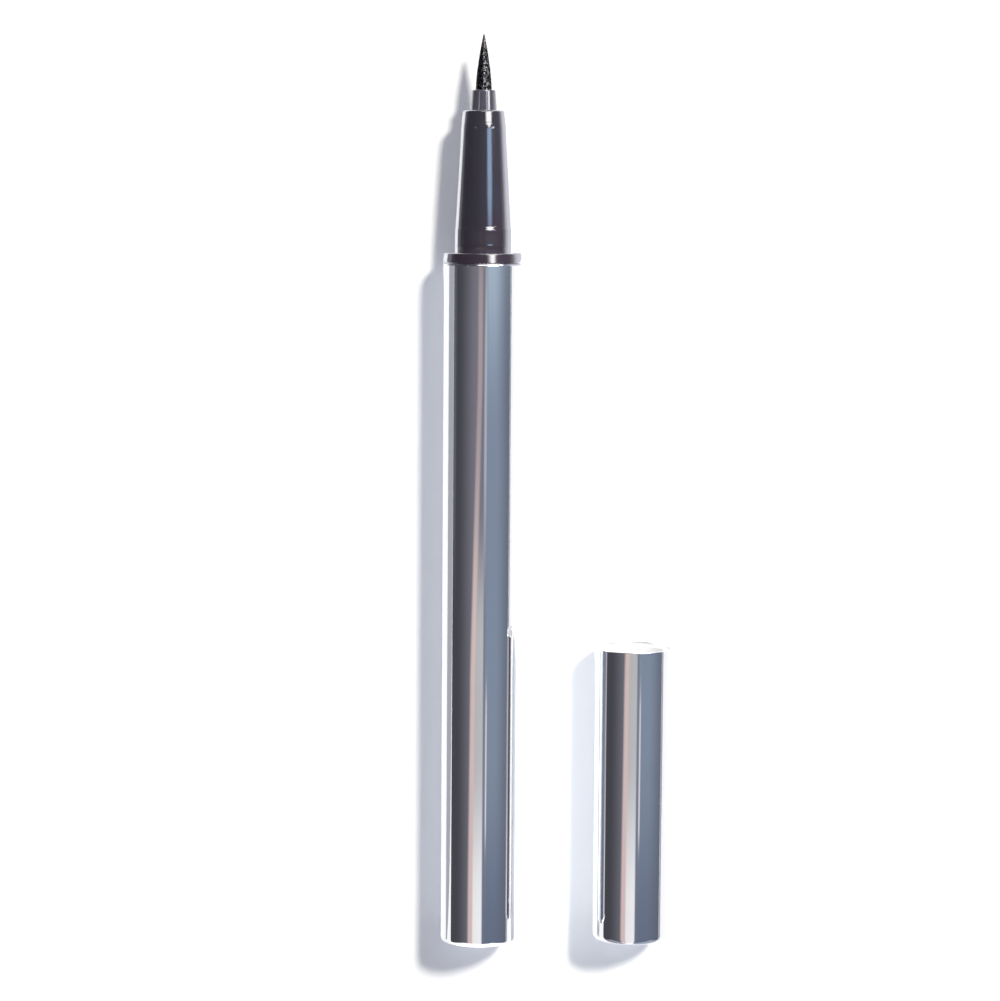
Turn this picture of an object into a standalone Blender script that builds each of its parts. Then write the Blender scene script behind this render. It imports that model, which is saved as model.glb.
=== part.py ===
"""A brush-tip liquid eyeliner pen, lying flat, with its cap taken off and lying beside it.

Every turned piece is drawn about its own axis, as (radius, station) points with the rear end at the
bottom and the brush at the top. Two empties, one on the pen's axis and one on the cap's, lay the
pieces down so that the stations run along +Y. The pen and the cap rest on z = 0.
"""

import math

import bmesh
import bpy
from mathutils import Vector

MM = 0.001

# Fits between neighbouring pieces
FIT_GAP = 0.15 * MM
SEAT_GAP = 0.15 * MM
RUNNING_GAP = 0.15 * MM
CUT_OVERRUN = 1.0 * MM
WELD_DISTANCE = 0.0001 * MM

# Outside of the pen
BARREL_LENGTH = 94.0 * MM
COLLAR_LENGTH = 1.2 * MM
LAND_LENGTH = 3.0 * MM
TAPER_LENGTH = 14.6 * MM
TAPER_RISE = 0.9 * MM
BAND_LENGTH = 1.65 * MM
BAND_STEP = 0.06 * MM
BAND_DRAFT = 0.05 * MM
NOSE_LENGTH = 2.75 * MM
NOSE_DRAFT = 0.17 * MM
BRUSH_LENGTH = 7.5 * MM
BRUSH_RADIUS = 1.1 * MM

# Metal sleeve of the barrel, and the cap's shell, drawn from the same stock
SLEEVE_WALL = 0.45 * MM
SLEEVE_END_WALL = 0.5 * MM
SLEEVE_END_ROUND = 0.6 * MM
SLEEVE_INNER_ROUND = 0.3 * MM
SLEEVE_LIP_ROUND = 0.12 * MM

# Inner barrel
INNER_BARREL_WALL = 0.8 * MM
INNER_BARREL_CHAMFER = 0.3 * MM
SNAP_HEIGHT = 0.1 * MM
SNAP_LENGTH = 0.8 * MM
SNAP_FROM_SPIGOT_END = 2.2 * MM

# Tail plug
TAIL_FLANGE_LENGTH = 0.8 * MM
TAIL_PLUG_LENGTH = 3.2 * MM
TAIL_PLUG_CHAMFER = 0.3 * MM
TAIL_RIB_LENGTH = 2.4 * MM
TAIL_RIB_THICKNESS = 0.8 * MM
TAIL_RIB_SETBACK = 0.85 * MM
TAIL_RIB_ROOT = 0.5 * MM

# Ink reservoir
WRAP_THICKNESS = 0.15 * MM
WRAP_OVERHANG = 0.4 * MM
RESERVOIR_CHAMFER = 0.4 * MM
RELAY_IN_RESERVOIR = 12.0 * MM

# Front section
SPIGOT_LENGTH = 10.0 * MM
SPIGOT_CHAMFER = 0.3 * MM
COLLAR_ROUND = 0.15 * MM
LAND_BEAD_HEIGHT = 0.04 * MM
LAND_BEAD_LENGTH = 0.7 * MM
LAND_BEAD_FROM_COLLAR = 1.1 * MM
BAND_ROUND = 0.2 * MM
GRIP_WALL = 0.46 * MM
NOSE_SOCKET_DEPTH = 4.2 * MM
VENT_SLOTS = 3
VENT_SLOT_WIDTH = 0.7 * MM
VENT_SLOT_LENGTH = 4.0 * MM

# Nose that holds the brush
NOSE_RIM_WALL = 0.39 * MM
NOSE_RIM_ROUND = 0.12 * MM
HOLDER_FLANGE_HEIGHT = 0.54 * MM
HOLDER_FLANGE_LENGTH = 1.2 * MM
HOLDER_FLUTES = 4
HOLDER_FLUTE_WIDTH = 0.5 * MM
HOLDER_FLUTE_DEPTH = 0.3 * MM

# Brush
STRANDS = 300
STRAND_SIDES = 3
STRAND_RADIUS = 0.046 * MM
STRAND_ROOT_DEPTH = 0.1 * MM
BRUSH_ROOT_BELOW_RIM = 0.35 * MM
BRUSH_STEM_LENGTH = 4.6 * MM
BRUSH_FLANGE_HEIGHT = 0.4 * MM
BRUSH_FLANGE_LENGTH = 0.6 * MM
RELAY_SOCKET_DEPTH = 2.0 * MM
RELAY_SOCKET_WALL = 0.2 * MM
BRUSH_TIP_SHARE = 0.06
BRUSH_FULLNESS_POWER = 1.5
SHORTEST_STRAND_SHARE = 0.86
STRAND_RING_SHARES = (0.42, 0.76, 1.0)

# Ink feed
RELAY_POINT_LENGTH = 0.9 * MM
RELAY_POINT_RADIUS = 0.2 * MM
FEED_FLANGE_LENGTH = 1.4 * MM
FEED_TUBE_LENGTH = 14.0 * MM
FEED_TUBE_WALL = 0.45 * MM
FEED_NOTCHES = 4
FEED_NOTCH_WIDTH = 0.8 * MM
FEED_NOTCH_DEPTH = 0.6 * MM

# Cap
CAP_SPACING = 21.2 * MM
CAP_REAR_AHEAD = 0.5 * MM
LINER_WALL = 0.75 * MM
LINER_RECESS = 0.25 * MM
LINER_MOUTH_CHAMFER = 0.3 * MM
LINER_SOCKET_DEPTH = 15.4 * MM
LINER_STOP_LENGTH = 0.8 * MM
LINER_STOP_CLEARANCE = 0.22 * MM
LINER_GROOVE_DEPTH = 0.06 * MM

# Inner cap, resting against the liner's stop, and its spring
INNER_CAP_TRAVEL = 1.2 * MM
INNER_CAP_PUSH = 1.0 * MM
INNER_CAP_WALL = 0.55 * MM
INNER_CAP_MOUTH_CHAMFER = 0.15 * MM
INNER_CAP_NOSE_CLEARANCE = 0.2 * MM
INNER_CAP_TIP_CLEARANCE = 1.0 * MM
INNER_CAP_END_WALL = 0.8 * MM
INNER_CAP_SPIGOT_RADIUS = 1.5 * MM
INNER_CAP_SPIGOT_LENGTH = 1.6 * MM
SPRING_LENGTH = 7.45 * MM
SPRING_WIRE_RADIUS = 0.2 * MM
SPRING_TURNS = 6
SPRING_DEAD_TURNS = 1.5
SPRING_DEAD_GAP = 0.45 * MM
SEAT_FLANGE_LENGTH = 1.0 * MM
SEAT_CHAMFER = 0.3 * MM
SEAT_BOSS_CLEARANCE = 3.35 * MM

# Facets
OUTER_STEPS = 48
INNER_STEPS = 32
SMALL_STEPS = 24
EDGE_ARC_POINTS = 3
END_ARC_POINTS = 5
SPRING_POINTS_A_TURN = 10
SHARP_ANGLE = 35

# Radii that follow from the sizes above, outwards from the brush
BRUSH_BORE_RADIUS = BRUSH_RADIUS + FIT_GAP
BRUSH_FLANGE_RADIUS = BRUSH_RADIUS + BRUSH_FLANGE_HEIGHT
RELAY_HOLE_RADIUS = BRUSH_RADIUS - RELAY_SOCKET_WALL
RELAY_RADIUS = RELAY_HOLE_RADIUS - FIT_GAP
NOSE_FRONT_RADIUS = BRUSH_BORE_RADIUS + NOSE_RIM_WALL
NOSE_REAR_RADIUS = NOSE_FRONT_RADIUS + NOSE_DRAFT
NOSE_SOCKET_RADIUS = NOSE_REAR_RADIUS + FIT_GAP
HOLDER_FLANGE_RADIUS = NOSE_REAR_RADIUS + HOLDER_FLANGE_HEIGHT
CHAMBER_RADIUS = HOLDER_FLANGE_RADIUS + FIT_GAP
TAPER_FRONT_RADIUS = CHAMBER_RADIUS + GRIP_WALL
BAND_REAR_RADIUS = TAPER_FRONT_RADIUS - BAND_STEP
BAND_FRONT_RADIUS = BAND_REAR_RADIUS - BAND_DRAFT
LAND_RADIUS = TAPER_FRONT_RADIUS + TAPER_RISE
LINER_SOCKET_RADIUS = LAND_RADIUS + LAND_BEAD_HEIGHT + RUNNING_GAP
LINER_RADIUS = LINER_SOCKET_RADIUS + LINER_WALL
SLEEVE_BORE_RADIUS = LINER_RADIUS + FIT_GAP
BODY_RADIUS = SLEEVE_BORE_RADIUS + SLEEVE_WALL
INNER_BARREL_RADIUS = SLEEVE_BORE_RADIUS - FIT_GAP
INNER_BARREL_BORE = INNER_BARREL_RADIUS - INNER_BARREL_WALL
PLUG_RADIUS = INNER_BARREL_BORE - FIT_GAP
WRAP_BORE_RADIUS = PLUG_RADIUS - WRAP_THICKNESS
RESERVOIR_RADIUS = WRAP_BORE_RADIUS - FIT_GAP
TAIL_RIB_WIDTH = 2 * (PLUG_RADIUS - TAIL_RIB_SETBACK)

# Stations, measured from the barrel's rear end
TAIL_START = SLEEVE_END_WALL + SEAT_GAP
INNER_BARREL_START = TAIL_START + TAIL_FLANGE_LENGTH + SEAT_GAP
RESERVOIR_START = TAIL_START + TAIL_FLANGE_LENGTH + TAIL_PLUG_LENGTH + TAIL_RIB_LENGTH + SEAT_GAP

COLLAR_START = BARREL_LENGTH + SEAT_GAP
COLLAR_FRONT = COLLAR_START + COLLAR_LENGTH
LAND_FRONT = COLLAR_FRONT + LAND_LENGTH
TAPER_FRONT = LAND_FRONT + TAPER_LENGTH
GRIP_FRONT = TAPER_FRONT + BAND_LENGTH
NOSE_FRONT = GRIP_FRONT + NOSE_LENGTH
PEN_LENGTH = NOSE_FRONT + BRUSH_LENGTH
SPIGOT_START = COLLAR_START - SPIGOT_LENGTH
RESERVOIR_END = SPIGOT_START - SEAT_GAP
INNER_BARREL_FRONT = COLLAR_START - SEAT_GAP
SNAP_STATION = SPIGOT_START + SNAP_FROM_SPIGOT_END

NOSE_SHOULDER = GRIP_FRONT - NOSE_SOCKET_DEPTH
HOLDER_FLANGE_FRONT = NOSE_SHOULDER - SEAT_GAP
HOLDER_REAR = HOLDER_FLANGE_FRONT - HOLDER_FLANGE_LENGTH
BRUSH_ROOT_FRONT = NOSE_FRONT - BRUSH_ROOT_BELOW_RIM
BRUSH_FLANGE_FRONT = BRUSH_ROOT_FRONT - BRUSH_STEM_LENGTH
BRUSH_SHOULDER = BRUSH_FLANGE_FRONT + SEAT_GAP
BRUSH_REAR = BRUSH_FLANGE_FRONT - BRUSH_FLANGE_LENGTH
RELAY_FRONT = BRUSH_REAR + RELAY_SOCKET_DEPTH - SEAT_GAP
RELAY_REAR = RESERVOIR_END - RELAY_IN_RESERVOIR
FEED_FRONT = HOLDER_REAR - SEAT_GAP
FEED_FLANGE_REAR = FEED_FRONT - FEED_FLANGE_LENGTH
FEED_REAR = FEED_FLANGE_REAR - FEED_TUBE_LENGTH
FEED_TUBE_RADIUS = RELAY_HOLE_RADIUS + FEED_TUBE_WALL
FEED_NIPPLE_RADIUS = BRUSH_FLANGE_RADIUS
FEED_NIPPLE_FRONT = BRUSH_REAR - SEAT_GAP

# The cap's stations run from its closed end to its mouth, like the pen's
SEAT_REAR = SLEEVE_END_WALL + SEAT_GAP
SEAT_FLANGE_FRONT = SEAT_REAR + SEAT_FLANGE_LENGTH
LINER_REAR = SEAT_FLANGE_FRONT + SEAT_GAP
SEAT_PLUG_FRONT = LINER_REAR + SEAT_FLANGE_LENGTH
SPRING_START = SEAT_PLUG_FRONT + SEAT_GAP + SPRING_WIRE_RADIUS
SPRING_END = SPRING_START + SPRING_LENGTH - 2 * SPRING_WIRE_RADIUS
INNER_CAP_REAR = SEAT_PLUG_FRONT + SEAT_GAP + SPRING_LENGTH + SEAT_GAP
INNER_CAP_FLOOR = INNER_CAP_REAR + INNER_CAP_END_WALL
INNER_CAP_SHOULDER = INNER_CAP_FLOOR + INNER_CAP_TIP_CLEARANCE + BRUSH_LENGTH + NOSE_LENGTH
# The cap is as long as what it covers. Its mouth meets the collar when the grip's front has pressed the
# inner cap's shoulder back by the push
CAP_LENGTH = INNER_CAP_SHOULDER - INNER_CAP_PUSH + GRIP_FRONT - COLLAR_FRONT - SEAT_GAP
LINER_MOUTH = CAP_LENGTH - LINER_RECESS
LINER_STOP_FRONT = LINER_MOUTH - LINER_SOCKET_DEPTH
LINER_STOP_REAR = LINER_STOP_FRONT - LINER_STOP_LENGTH


def taper_radius(station):
    """Radius of the tapering grip at a station between the land and the band."""
    share = (station - LAND_FRONT) / TAPER_LENGTH
    return LAND_RADIUS + share * (TAPER_FRONT_RADIUS - LAND_RADIUS)


# With the cap on and its mouth at the collar, its stop stands over this station of the grip
STOP_OVER_GRIP = COLLAR_FRONT + LINER_SOCKET_DEPTH + LINER_RECESS + SEAT_GAP
LINER_STOP_RADIUS = taper_radius(STOP_OVER_GRIP) + LINER_STOP_CLEARANCE
INNER_CAP_FRONT = LINER_STOP_REAR - SEAT_GAP
INNER_CAP_BORE = BAND_REAR_RADIUS + FIT_GAP
INNER_CAP_RADIUS = INNER_CAP_BORE + INNER_CAP_WALL
LINER_CHAMBER_RADIUS = INNER_CAP_RADIUS + RUNNING_GAP
INNER_CAP_NECK_BORE = NOSE_REAR_RADIUS + INNER_CAP_NOSE_CLEARANCE
INNER_CAP_NECK_RADIUS = INNER_CAP_NECK_BORE + INNER_CAP_WALL
INNER_CAP_NECK_FRONT = INNER_CAP_SHOULDER - INNER_CAP_WALL
SEAT_PLUG_RADIUS = LINER_CHAMBER_RADIUS - FIT_GAP
SEAT_BOSS_RADIUS = INNER_CAP_SPIGOT_RADIUS
INNER_CAP_SPIGOT_REAR = INNER_CAP_REAR - INNER_CAP_SPIGOT_LENGTH
# The boss keeps its clearance to the inner cap's spigot when the inner cap is pressed all the way in
SEAT_BOSS_FRONT = INNER_CAP_SPIGOT_REAR - INNER_CAP_TRAVEL - SEAT_BOSS_CLEARANCE
SPRING_COIL_RADIUS = INNER_CAP_SPIGOT_RADIUS + FIT_GAP + SPRING_WIRE_RADIUS

PEN_X = -CAP_SPACING / 2
CAP_X = CAP_SPACING / 2
PEN_REAR_Y = -PEN_LENGTH / 2
CAP_REAR_Y = PEN_REAR_Y + CAP_REAR_AHEAD


def clear_scene():
    """Removes whatever the scene holds."""
    for obj in list(bpy.data.objects):
        bpy.data.objects.remove(obj, do_unlink=True)


def collection(name):
    """A new collection in the scene."""
    made = bpy.data.collections.new(name)
    bpy.context.scene.collection.children.link(made)
    return made


def material(name, color, roughness, metallic=0.0, transmission=0.0):
    """A Principled material."""
    made = bpy.data.materials.new(name)
    made.use_nodes = True
    shader = made.node_tree.nodes["Principled BSDF"]
    shader.inputs["Base Color"].default_value = (*color, 1.0)
    shader.inputs["Roughness"].default_value = roughness
    shader.inputs["Metallic"].default_value = metallic
    shader.inputs["Transmission Weight"].default_value = transmission
    made.diffuse_color = (*color, 1.0)
    return made


def lying_axis(name, x, rear_y):
    """An empty on a lying axis: what stands along its +Z lies along the scene's +Y."""
    empty = bpy.data.objects.new(name, None)
    empty.location = (x, rear_y, BODY_RADIUS)
    empty.rotation_euler = (-math.pi / 2, 0.0, 0.0)
    PARTS.objects.link(empty)
    return empty


def arc(radius, station, size, start, end, points):
    """Points along an arc about (radius, station), from one angle to the other, in degrees."""
    turn = [math.radians(start + (end - start) * i / (points - 1)) for i in range(points)]
    return [(radius + size * math.cos(t), station + size * math.sin(t)) for t in turn]


def turned_mesh(name, outline, steps, closed):
    """An outline of (radius, station) points, turned about the Z axis.

    The outline runs down its outer side. An open one starts and ends on the axis.
    """
    mesh = bpy.data.meshes.new(name)
    count = len(outline)
    edges = [(i, (i + 1) % count) for i in range(count if closed else count - 1)]
    mesh.from_pydata([(radius, 0.0, station) for radius, station in outline], edges, [])
    obj = bpy.data.objects.new(name, mesh)
    screw = obj.modifiers.new("turn", "SCREW")
    screw.axis = "Z"
    screw.steps = steps
    screw.render_steps = steps
    screw.use_merge_vertices = True
    screw.merge_threshold = WELD_DISTANCE
    return obj


def fixed_mesh(obj):
    """The object's evaluated mesh, put in place of its modifiers."""
    if obj.name not in bpy.context.scene.collection.all_objects:
        bpy.context.scene.collection.objects.link(obj)
    bpy.context.view_layer.update()
    graph = bpy.context.evaluated_depsgraph_get()
    mesh = bpy.data.meshes.new_from_object(obj.evaluated_get(graph))
    name = obj.name
    bpy.data.objects.remove(obj, do_unlink=True)
    mesh.name = name
    return mesh


def finished(name, mesh, finish, parent):
    """A mesh made into a piece of the pen, on its axis and shaded smooth between its edges."""
    mesh.materials.clear()
    mesh.materials.append(finish)
    mesh.shade_smooth()
    mesh.set_sharp_from_angle(angle=math.radians(SHARP_ANGLE))
    obj = bpy.data.objects.new(name, mesh)
    obj.parent = parent
    PARTS.objects.link(obj)
    return obj


def turned(name, outline, finish, parent, steps=INNER_STEPS, closed=True):
    """A piece turned from its outline."""
    mesh = fixed_mesh(turned_mesh(name + "_turned", outline, steps, closed))
    return finished(name, mesh, finish, parent)


def box(name, size, center, spin=0.0):
    """A box mesh object, turned by spin about the Z axis after it is placed."""
    mesh = bpy.data.meshes.new(name)
    shape = bmesh.new()
    bmesh.ops.create_cube(shape, size=1.0)
    bmesh.ops.scale(shape, vec=Vector(size), verts=shape.verts)
    bmesh.ops.translate(shape, vec=Vector(center), verts=shape.verts)
    shape.to_mesh(mesh)
    shape.free()
    obj = bpy.data.objects.new(name, mesh)
    obj.rotation_euler = (0.0, 0.0, spin)
    return obj


def combine(piece, tools, operation):
    """Adds or cuts each tool, in the piece's own frame, with a Boolean modifier."""
    for tool in tools:
        tool.parent = piece.parent
        tool.hide_render = True
        tool.display_type = "WIRE"
        CUTTERS.objects.link(tool)
        step = piece.modifiers.new(tool.name, "BOOLEAN")
        step.operation = operation
        step.solver = "EXACT"
        step.object = tool


def round_spins(count):
    """Equal turns about the axis."""
    return [2 * math.pi * i / count for i in range(count)]


def drawn_sleeve(name, length, parent):
    """A drawn metal cup, open at its front, with a rounded closed end."""
    inner_floor = arc(
        SLEEVE_BORE_RADIUS - SLEEVE_INNER_ROUND, SLEEVE_END_WALL + SLEEVE_INNER_ROUND,
        SLEEVE_INNER_ROUND, -90, 0, EDGE_ARC_POINTS,
    )
    inner_lip = arc(
        SLEEVE_BORE_RADIUS + SLEEVE_LIP_ROUND, length - SLEEVE_LIP_ROUND,
        SLEEVE_LIP_ROUND, 180, 90, EDGE_ARC_POINTS,
    )
    outer_lip = arc(
        BODY_RADIUS - SLEEVE_LIP_ROUND, length - SLEEVE_LIP_ROUND,
        SLEEVE_LIP_ROUND, 90, 0, EDGE_ARC_POINTS,
    )
    outer_end = arc(
        BODY_RADIUS - SLEEVE_END_ROUND, SLEEVE_END_ROUND, SLEEVE_END_ROUND, 0, -90, END_ARC_POINTS
    )
    outline = [(0.0, SLEEVE_END_WALL)] + inner_floor + inner_lip + outer_lip + outer_end + [(0.0, 0.0)]
    return turned(name, outline, METAL, parent, OUTER_STEPS, closed=False)


def inner_barrel():
    """Plastic tube that carries the reservoir and the front section, with a snap groove in its bore."""
    groove = INNER_BARREL_BORE + SNAP_HEIGHT
    groove_front = SNAP_STATION + SNAP_LENGTH
    outline = [
        (INNER_BARREL_RADIUS, INNER_BARREL_FRONT),
        (INNER_BARREL_RADIUS, INNER_BARREL_START),
        (INNER_BARREL_BORE, INNER_BARREL_START),
        (INNER_BARREL_BORE, SNAP_STATION - SNAP_HEIGHT),
        (groove, SNAP_STATION),
        (groove, groove_front),
        (INNER_BARREL_BORE, groove_front + SNAP_HEIGHT),
        (INNER_BARREL_BORE, INNER_BARREL_FRONT - INNER_BARREL_CHAMFER),
        (INNER_BARREL_BORE + INNER_BARREL_CHAMFER, INNER_BARREL_FRONT),
    ]
    return turned("inner_barrel", outline, BLACK_PLASTIC, PEN_AXIS)


def tail_plug():
    """Plug in the rear of the inner barrel, with a cross of ribs that stops the reservoir."""
    flange_front = TAIL_START + TAIL_FLANGE_LENGTH
    plug_front = flange_front + TAIL_PLUG_LENGTH
    outline = [
        (0.0, plug_front),
        (PLUG_RADIUS - TAIL_PLUG_CHAMFER, plug_front),
        (PLUG_RADIUS, plug_front - TAIL_PLUG_CHAMFER),
        (PLUG_RADIUS, flange_front),
        (INNER_BARREL_RADIUS, flange_front),
        (INNER_BARREL_RADIUS, TAIL_START + TAIL_PLUG_CHAMFER),
        (INNER_BARREL_RADIUS - TAIL_PLUG_CHAMFER, TAIL_START),
        (0.0, TAIL_START),
    ]
    plug = turned("tail_plug", outline, BLACK_PLASTIC, PEN_AXIS, closed=False)
    height = TAIL_RIB_LENGTH + TAIL_RIB_ROOT
    middle = (0.0, 0.0, plug_front + TAIL_RIB_LENGTH - height / 2)
    size = (TAIL_RIB_WIDTH, TAIL_RIB_THICKNESS, height)
    ribs = [box(f"tail_rib_{i + 1}", size, middle, math.pi / 2 * i) for i in range(2)]
    combine(plug, ribs, "UNION")
    return plug


def reservoir_core():
    """Fibre wadding that holds the ink, with a hole for the relay core in its front."""
    hole_rear = RELAY_REAR - SEAT_GAP
    outline = [
        (0.0, hole_rear),
        (RELAY_HOLE_RADIUS, hole_rear),
        (RELAY_HOLE_RADIUS, RESERVOIR_END),
        (RESERVOIR_RADIUS - RESERVOIR_CHAMFER, RESERVOIR_END),
        (RESERVOIR_RADIUS, RESERVOIR_END - RESERVOIR_CHAMFER),
        (RESERVOIR_RADIUS, RESERVOIR_START + RESERVOIR_CHAMFER),
        (RESERVOIR_RADIUS - RESERVOIR_CHAMFER, RESERVOIR_START),
        (0.0, RESERVOIR_START),
    ]
    return turned("reservoir_core", outline, INK_FIBRE, PEN_AXIS, closed=False)


def reservoir_wrap():
    """Film sleeve round the wadding, a little shorter than the wadding at both ends."""
    front = RESERVOIR_END - WRAP_OVERHANG
    rear = RESERVOIR_START + WRAP_OVERHANG
    outline = [
        (PLUG_RADIUS, front),
        (PLUG_RADIUS, rear),
        (WRAP_BORE_RADIUS, rear),
        (WRAP_BORE_RADIUS, front),
    ]
    return turned("reservoir_wrap", outline, FILM, PEN_AXIS)


def front_section():
    """Collar, cap land, tapering grip, front band and rear spigot in one moulding."""
    bead_rear = COLLAR_FRONT + LAND_BEAD_FROM_COLLAR
    bead_middle = bead_rear + LAND_BEAD_LENGTH / 2
    snap_radius = PLUG_RADIUS + SNAP_HEIGHT
    snap_front = SNAP_STATION + SNAP_LENGTH
    edge_radius = BODY_RADIUS - COLLAR_ROUND
    band_edge = BAND_FRONT_RADIUS - BAND_ROUND
    outline = [
        (NOSE_SOCKET_RADIUS, GRIP_FRONT),
        *arc(band_edge, GRIP_FRONT - BAND_ROUND, BAND_ROUND, 90, 0, EDGE_ARC_POINTS),
        (BAND_REAR_RADIUS, TAPER_FRONT),
        (TAPER_FRONT_RADIUS, TAPER_FRONT),
        (LAND_RADIUS, LAND_FRONT),
        (LAND_RADIUS, bead_rear + LAND_BEAD_LENGTH),
        (LAND_RADIUS + LAND_BEAD_HEIGHT, bead_middle),
        (LAND_RADIUS, bead_rear),
        (LAND_RADIUS, COLLAR_FRONT),
        *arc(edge_radius, COLLAR_FRONT - COLLAR_ROUND, COLLAR_ROUND, 90, 0, EDGE_ARC_POINTS),
        *arc(edge_radius, COLLAR_START + COLLAR_ROUND, COLLAR_ROUND, 0, -90, EDGE_ARC_POINTS),
        (PLUG_RADIUS, COLLAR_START),
        (PLUG_RADIUS, snap_front),
        (snap_radius, snap_front - SNAP_HEIGHT),
        (snap_radius, SNAP_STATION + SNAP_HEIGHT),
        (PLUG_RADIUS, SNAP_STATION),
        (PLUG_RADIUS, SPIGOT_START + SPIGOT_CHAMFER),
        (PLUG_RADIUS - SPIGOT_CHAMFER, SPIGOT_START),
        (CHAMBER_RADIUS, SPIGOT_START),
        (CHAMBER_RADIUS, NOSE_SHOULDER),
        (NOSE_SOCKET_RADIUS, NOSE_SHOULDER),
    ]
    section = turned("front_section", outline, GRIP_PLASTIC, PEN_AXIS, OUTER_STEPS)
    reach = PLUG_RADIUS + CUT_OVERRUN
    size = (reach, VENT_SLOT_WIDTH, VENT_SLOT_LENGTH + CUT_OVERRUN)
    middle = (reach / 2, 0.0, SPIGOT_START + (VENT_SLOT_LENGTH - CUT_OVERRUN) / 2)
    slots = [
        box(f"vent_slot_{i + 1}", size, middle, spin) for i, spin in enumerate(round_spins(VENT_SLOTS))
    ]
    combine(section, slots, "DIFFERENCE")
    return section


def tip_holder():
    """Nose that holds the brush, with a flange behind the grip's shoulder and fluted sides for air."""
    flange_bore = BRUSH_FLANGE_RADIUS + FIT_GAP
    outline = [
        (BRUSH_BORE_RADIUS, NOSE_FRONT),
        *arc(
            NOSE_FRONT_RADIUS - NOSE_RIM_ROUND, NOSE_FRONT - NOSE_RIM_ROUND, NOSE_RIM_ROUND,
            90, 0, EDGE_ARC_POINTS,
        ),
        (NOSE_REAR_RADIUS, GRIP_FRONT),
        (NOSE_REAR_RADIUS, HOLDER_FLANGE_FRONT),
        (HOLDER_FLANGE_RADIUS, HOLDER_FLANGE_FRONT),
        (HOLDER_FLANGE_RADIUS, HOLDER_REAR),
        (flange_bore, HOLDER_REAR),
        (flange_bore, BRUSH_SHOULDER),
        (BRUSH_BORE_RADIUS, BRUSH_SHOULDER),
    ]
    holder = turned("tip_holder", outline, SMOKY_PLASTIC, PEN_AXIS)
    outer = HOLDER_FLANGE_RADIUS + CUT_OVERRUN
    inner = HOLDER_FLANGE_RADIUS - HOLDER_FLUTE_DEPTH
    size = (outer - inner, HOLDER_FLUTE_WIDTH, HOLDER_FLANGE_LENGTH + CUT_OVERRUN * 2)
    middle = ((outer + inner) / 2, 0.0, (HOLDER_REAR + HOLDER_FLANGE_FRONT) / 2)
    flutes = [
        box(f"flute_{i + 1}", size, middle, spin) for i, spin in enumerate(round_spins(HOLDER_FLUTES))
    ]
    combine(holder, flutes, "DIFFERENCE")
    return holder


def brush_radius_share(along):
    """Radius of the bristle bundle, as a share of its base, at a share of its length."""
    return 1.0 - (1.0 - BRUSH_TIP_SHARE) * along ** BRUSH_FULLNESS_POWER


def strand_seeds():
    """Each strand's place in the bundle as (share of the radius, angle), on a sunflower spiral."""
    golden_turn = math.pi * (3.0 - math.sqrt(5.0))
    return [(math.sqrt((i + 0.5) / STRANDS), i * golden_turn) for i in range(STRANDS)]


def strand_points(index, radius_share, angle):
    """One strand's points and thickness shares, from inside the root to its end."""
    spread = (BRUSH_RADIUS - STRAND_RADIUS) * radius_share
    stagger = (index * (math.sqrt(5.0) - 1.0) / 2.0) % 1.0
    reach = 1.0 - (1.0 - SHORTEST_STRAND_SHARE) * stagger * min(1.0, radius_share * 2.0)
    start = BRUSH_ROOT_FRONT - STRAND_ROOT_DEPTH
    points = [(spread * math.cos(angle), spread * math.sin(angle), start, 1.0)]
    for ring_share in STRAND_RING_SHARES:
        along = ring_share * reach
        share = brush_radius_share(along)
        station = NOSE_FRONT + BRUSH_LENGTH * along
        radius = spread * share
        points.append((radius * math.cos(angle), radius * math.sin(angle), station, share))
    return points


def strands_mesh():
    """All bristles as one mesh of thin tapering rods, none of which crosses another."""
    section = bpy.data.curves.new("strand_section", "CURVE")
    outline = section.splines.new("POLY")
    outline.points.add(STRAND_SIDES - 1)
    outline.use_cyclic_u = True
    for point, turn in zip(outline.points, round_spins(STRAND_SIDES)):
        point.co = (STRAND_RADIUS * math.cos(turn), STRAND_RADIUS * math.sin(turn), 0.0, 1.0)
    section_object = bpy.data.objects.new("strand_section", section)
    section_object.hide_render = True
    CUTTERS.objects.link(section_object)

    curve = bpy.data.curves.new("strands", "CURVE")
    curve.dimensions = "3D"
    curve.bevel_mode = "OBJECT"
    curve.bevel_object = section_object
    curve.use_fill_caps = True
    for index, (radius_share, angle) in enumerate(strand_seeds()):
        points = strand_points(index, radius_share, angle)
        spline = curve.splines.new("POLY")
        spline.points.add(len(points) - 1)
        for point, (x, y, z, share) in zip(spline.points, points):
            point.co = (x, y, z, 1.0)
            point.radius = share
    strands = fixed_mesh(bpy.data.objects.new("strands", curve))
    bpy.data.objects.remove(section_object, do_unlink=True)
    return welded(strands)


def welded(mesh):
    """The mesh with its loose caps joined to its sides and its faces turned outwards."""
    shape = bmesh.new()
    shape.from_mesh(mesh)
    bmesh.ops.remove_doubles(shape, verts=shape.verts, dist=WELD_DISTANCE)
    bmesh.ops.recalc_face_normals(shape, faces=shape.faces)
    shape.to_mesh(mesh)
    shape.free()
    return mesh


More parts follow.
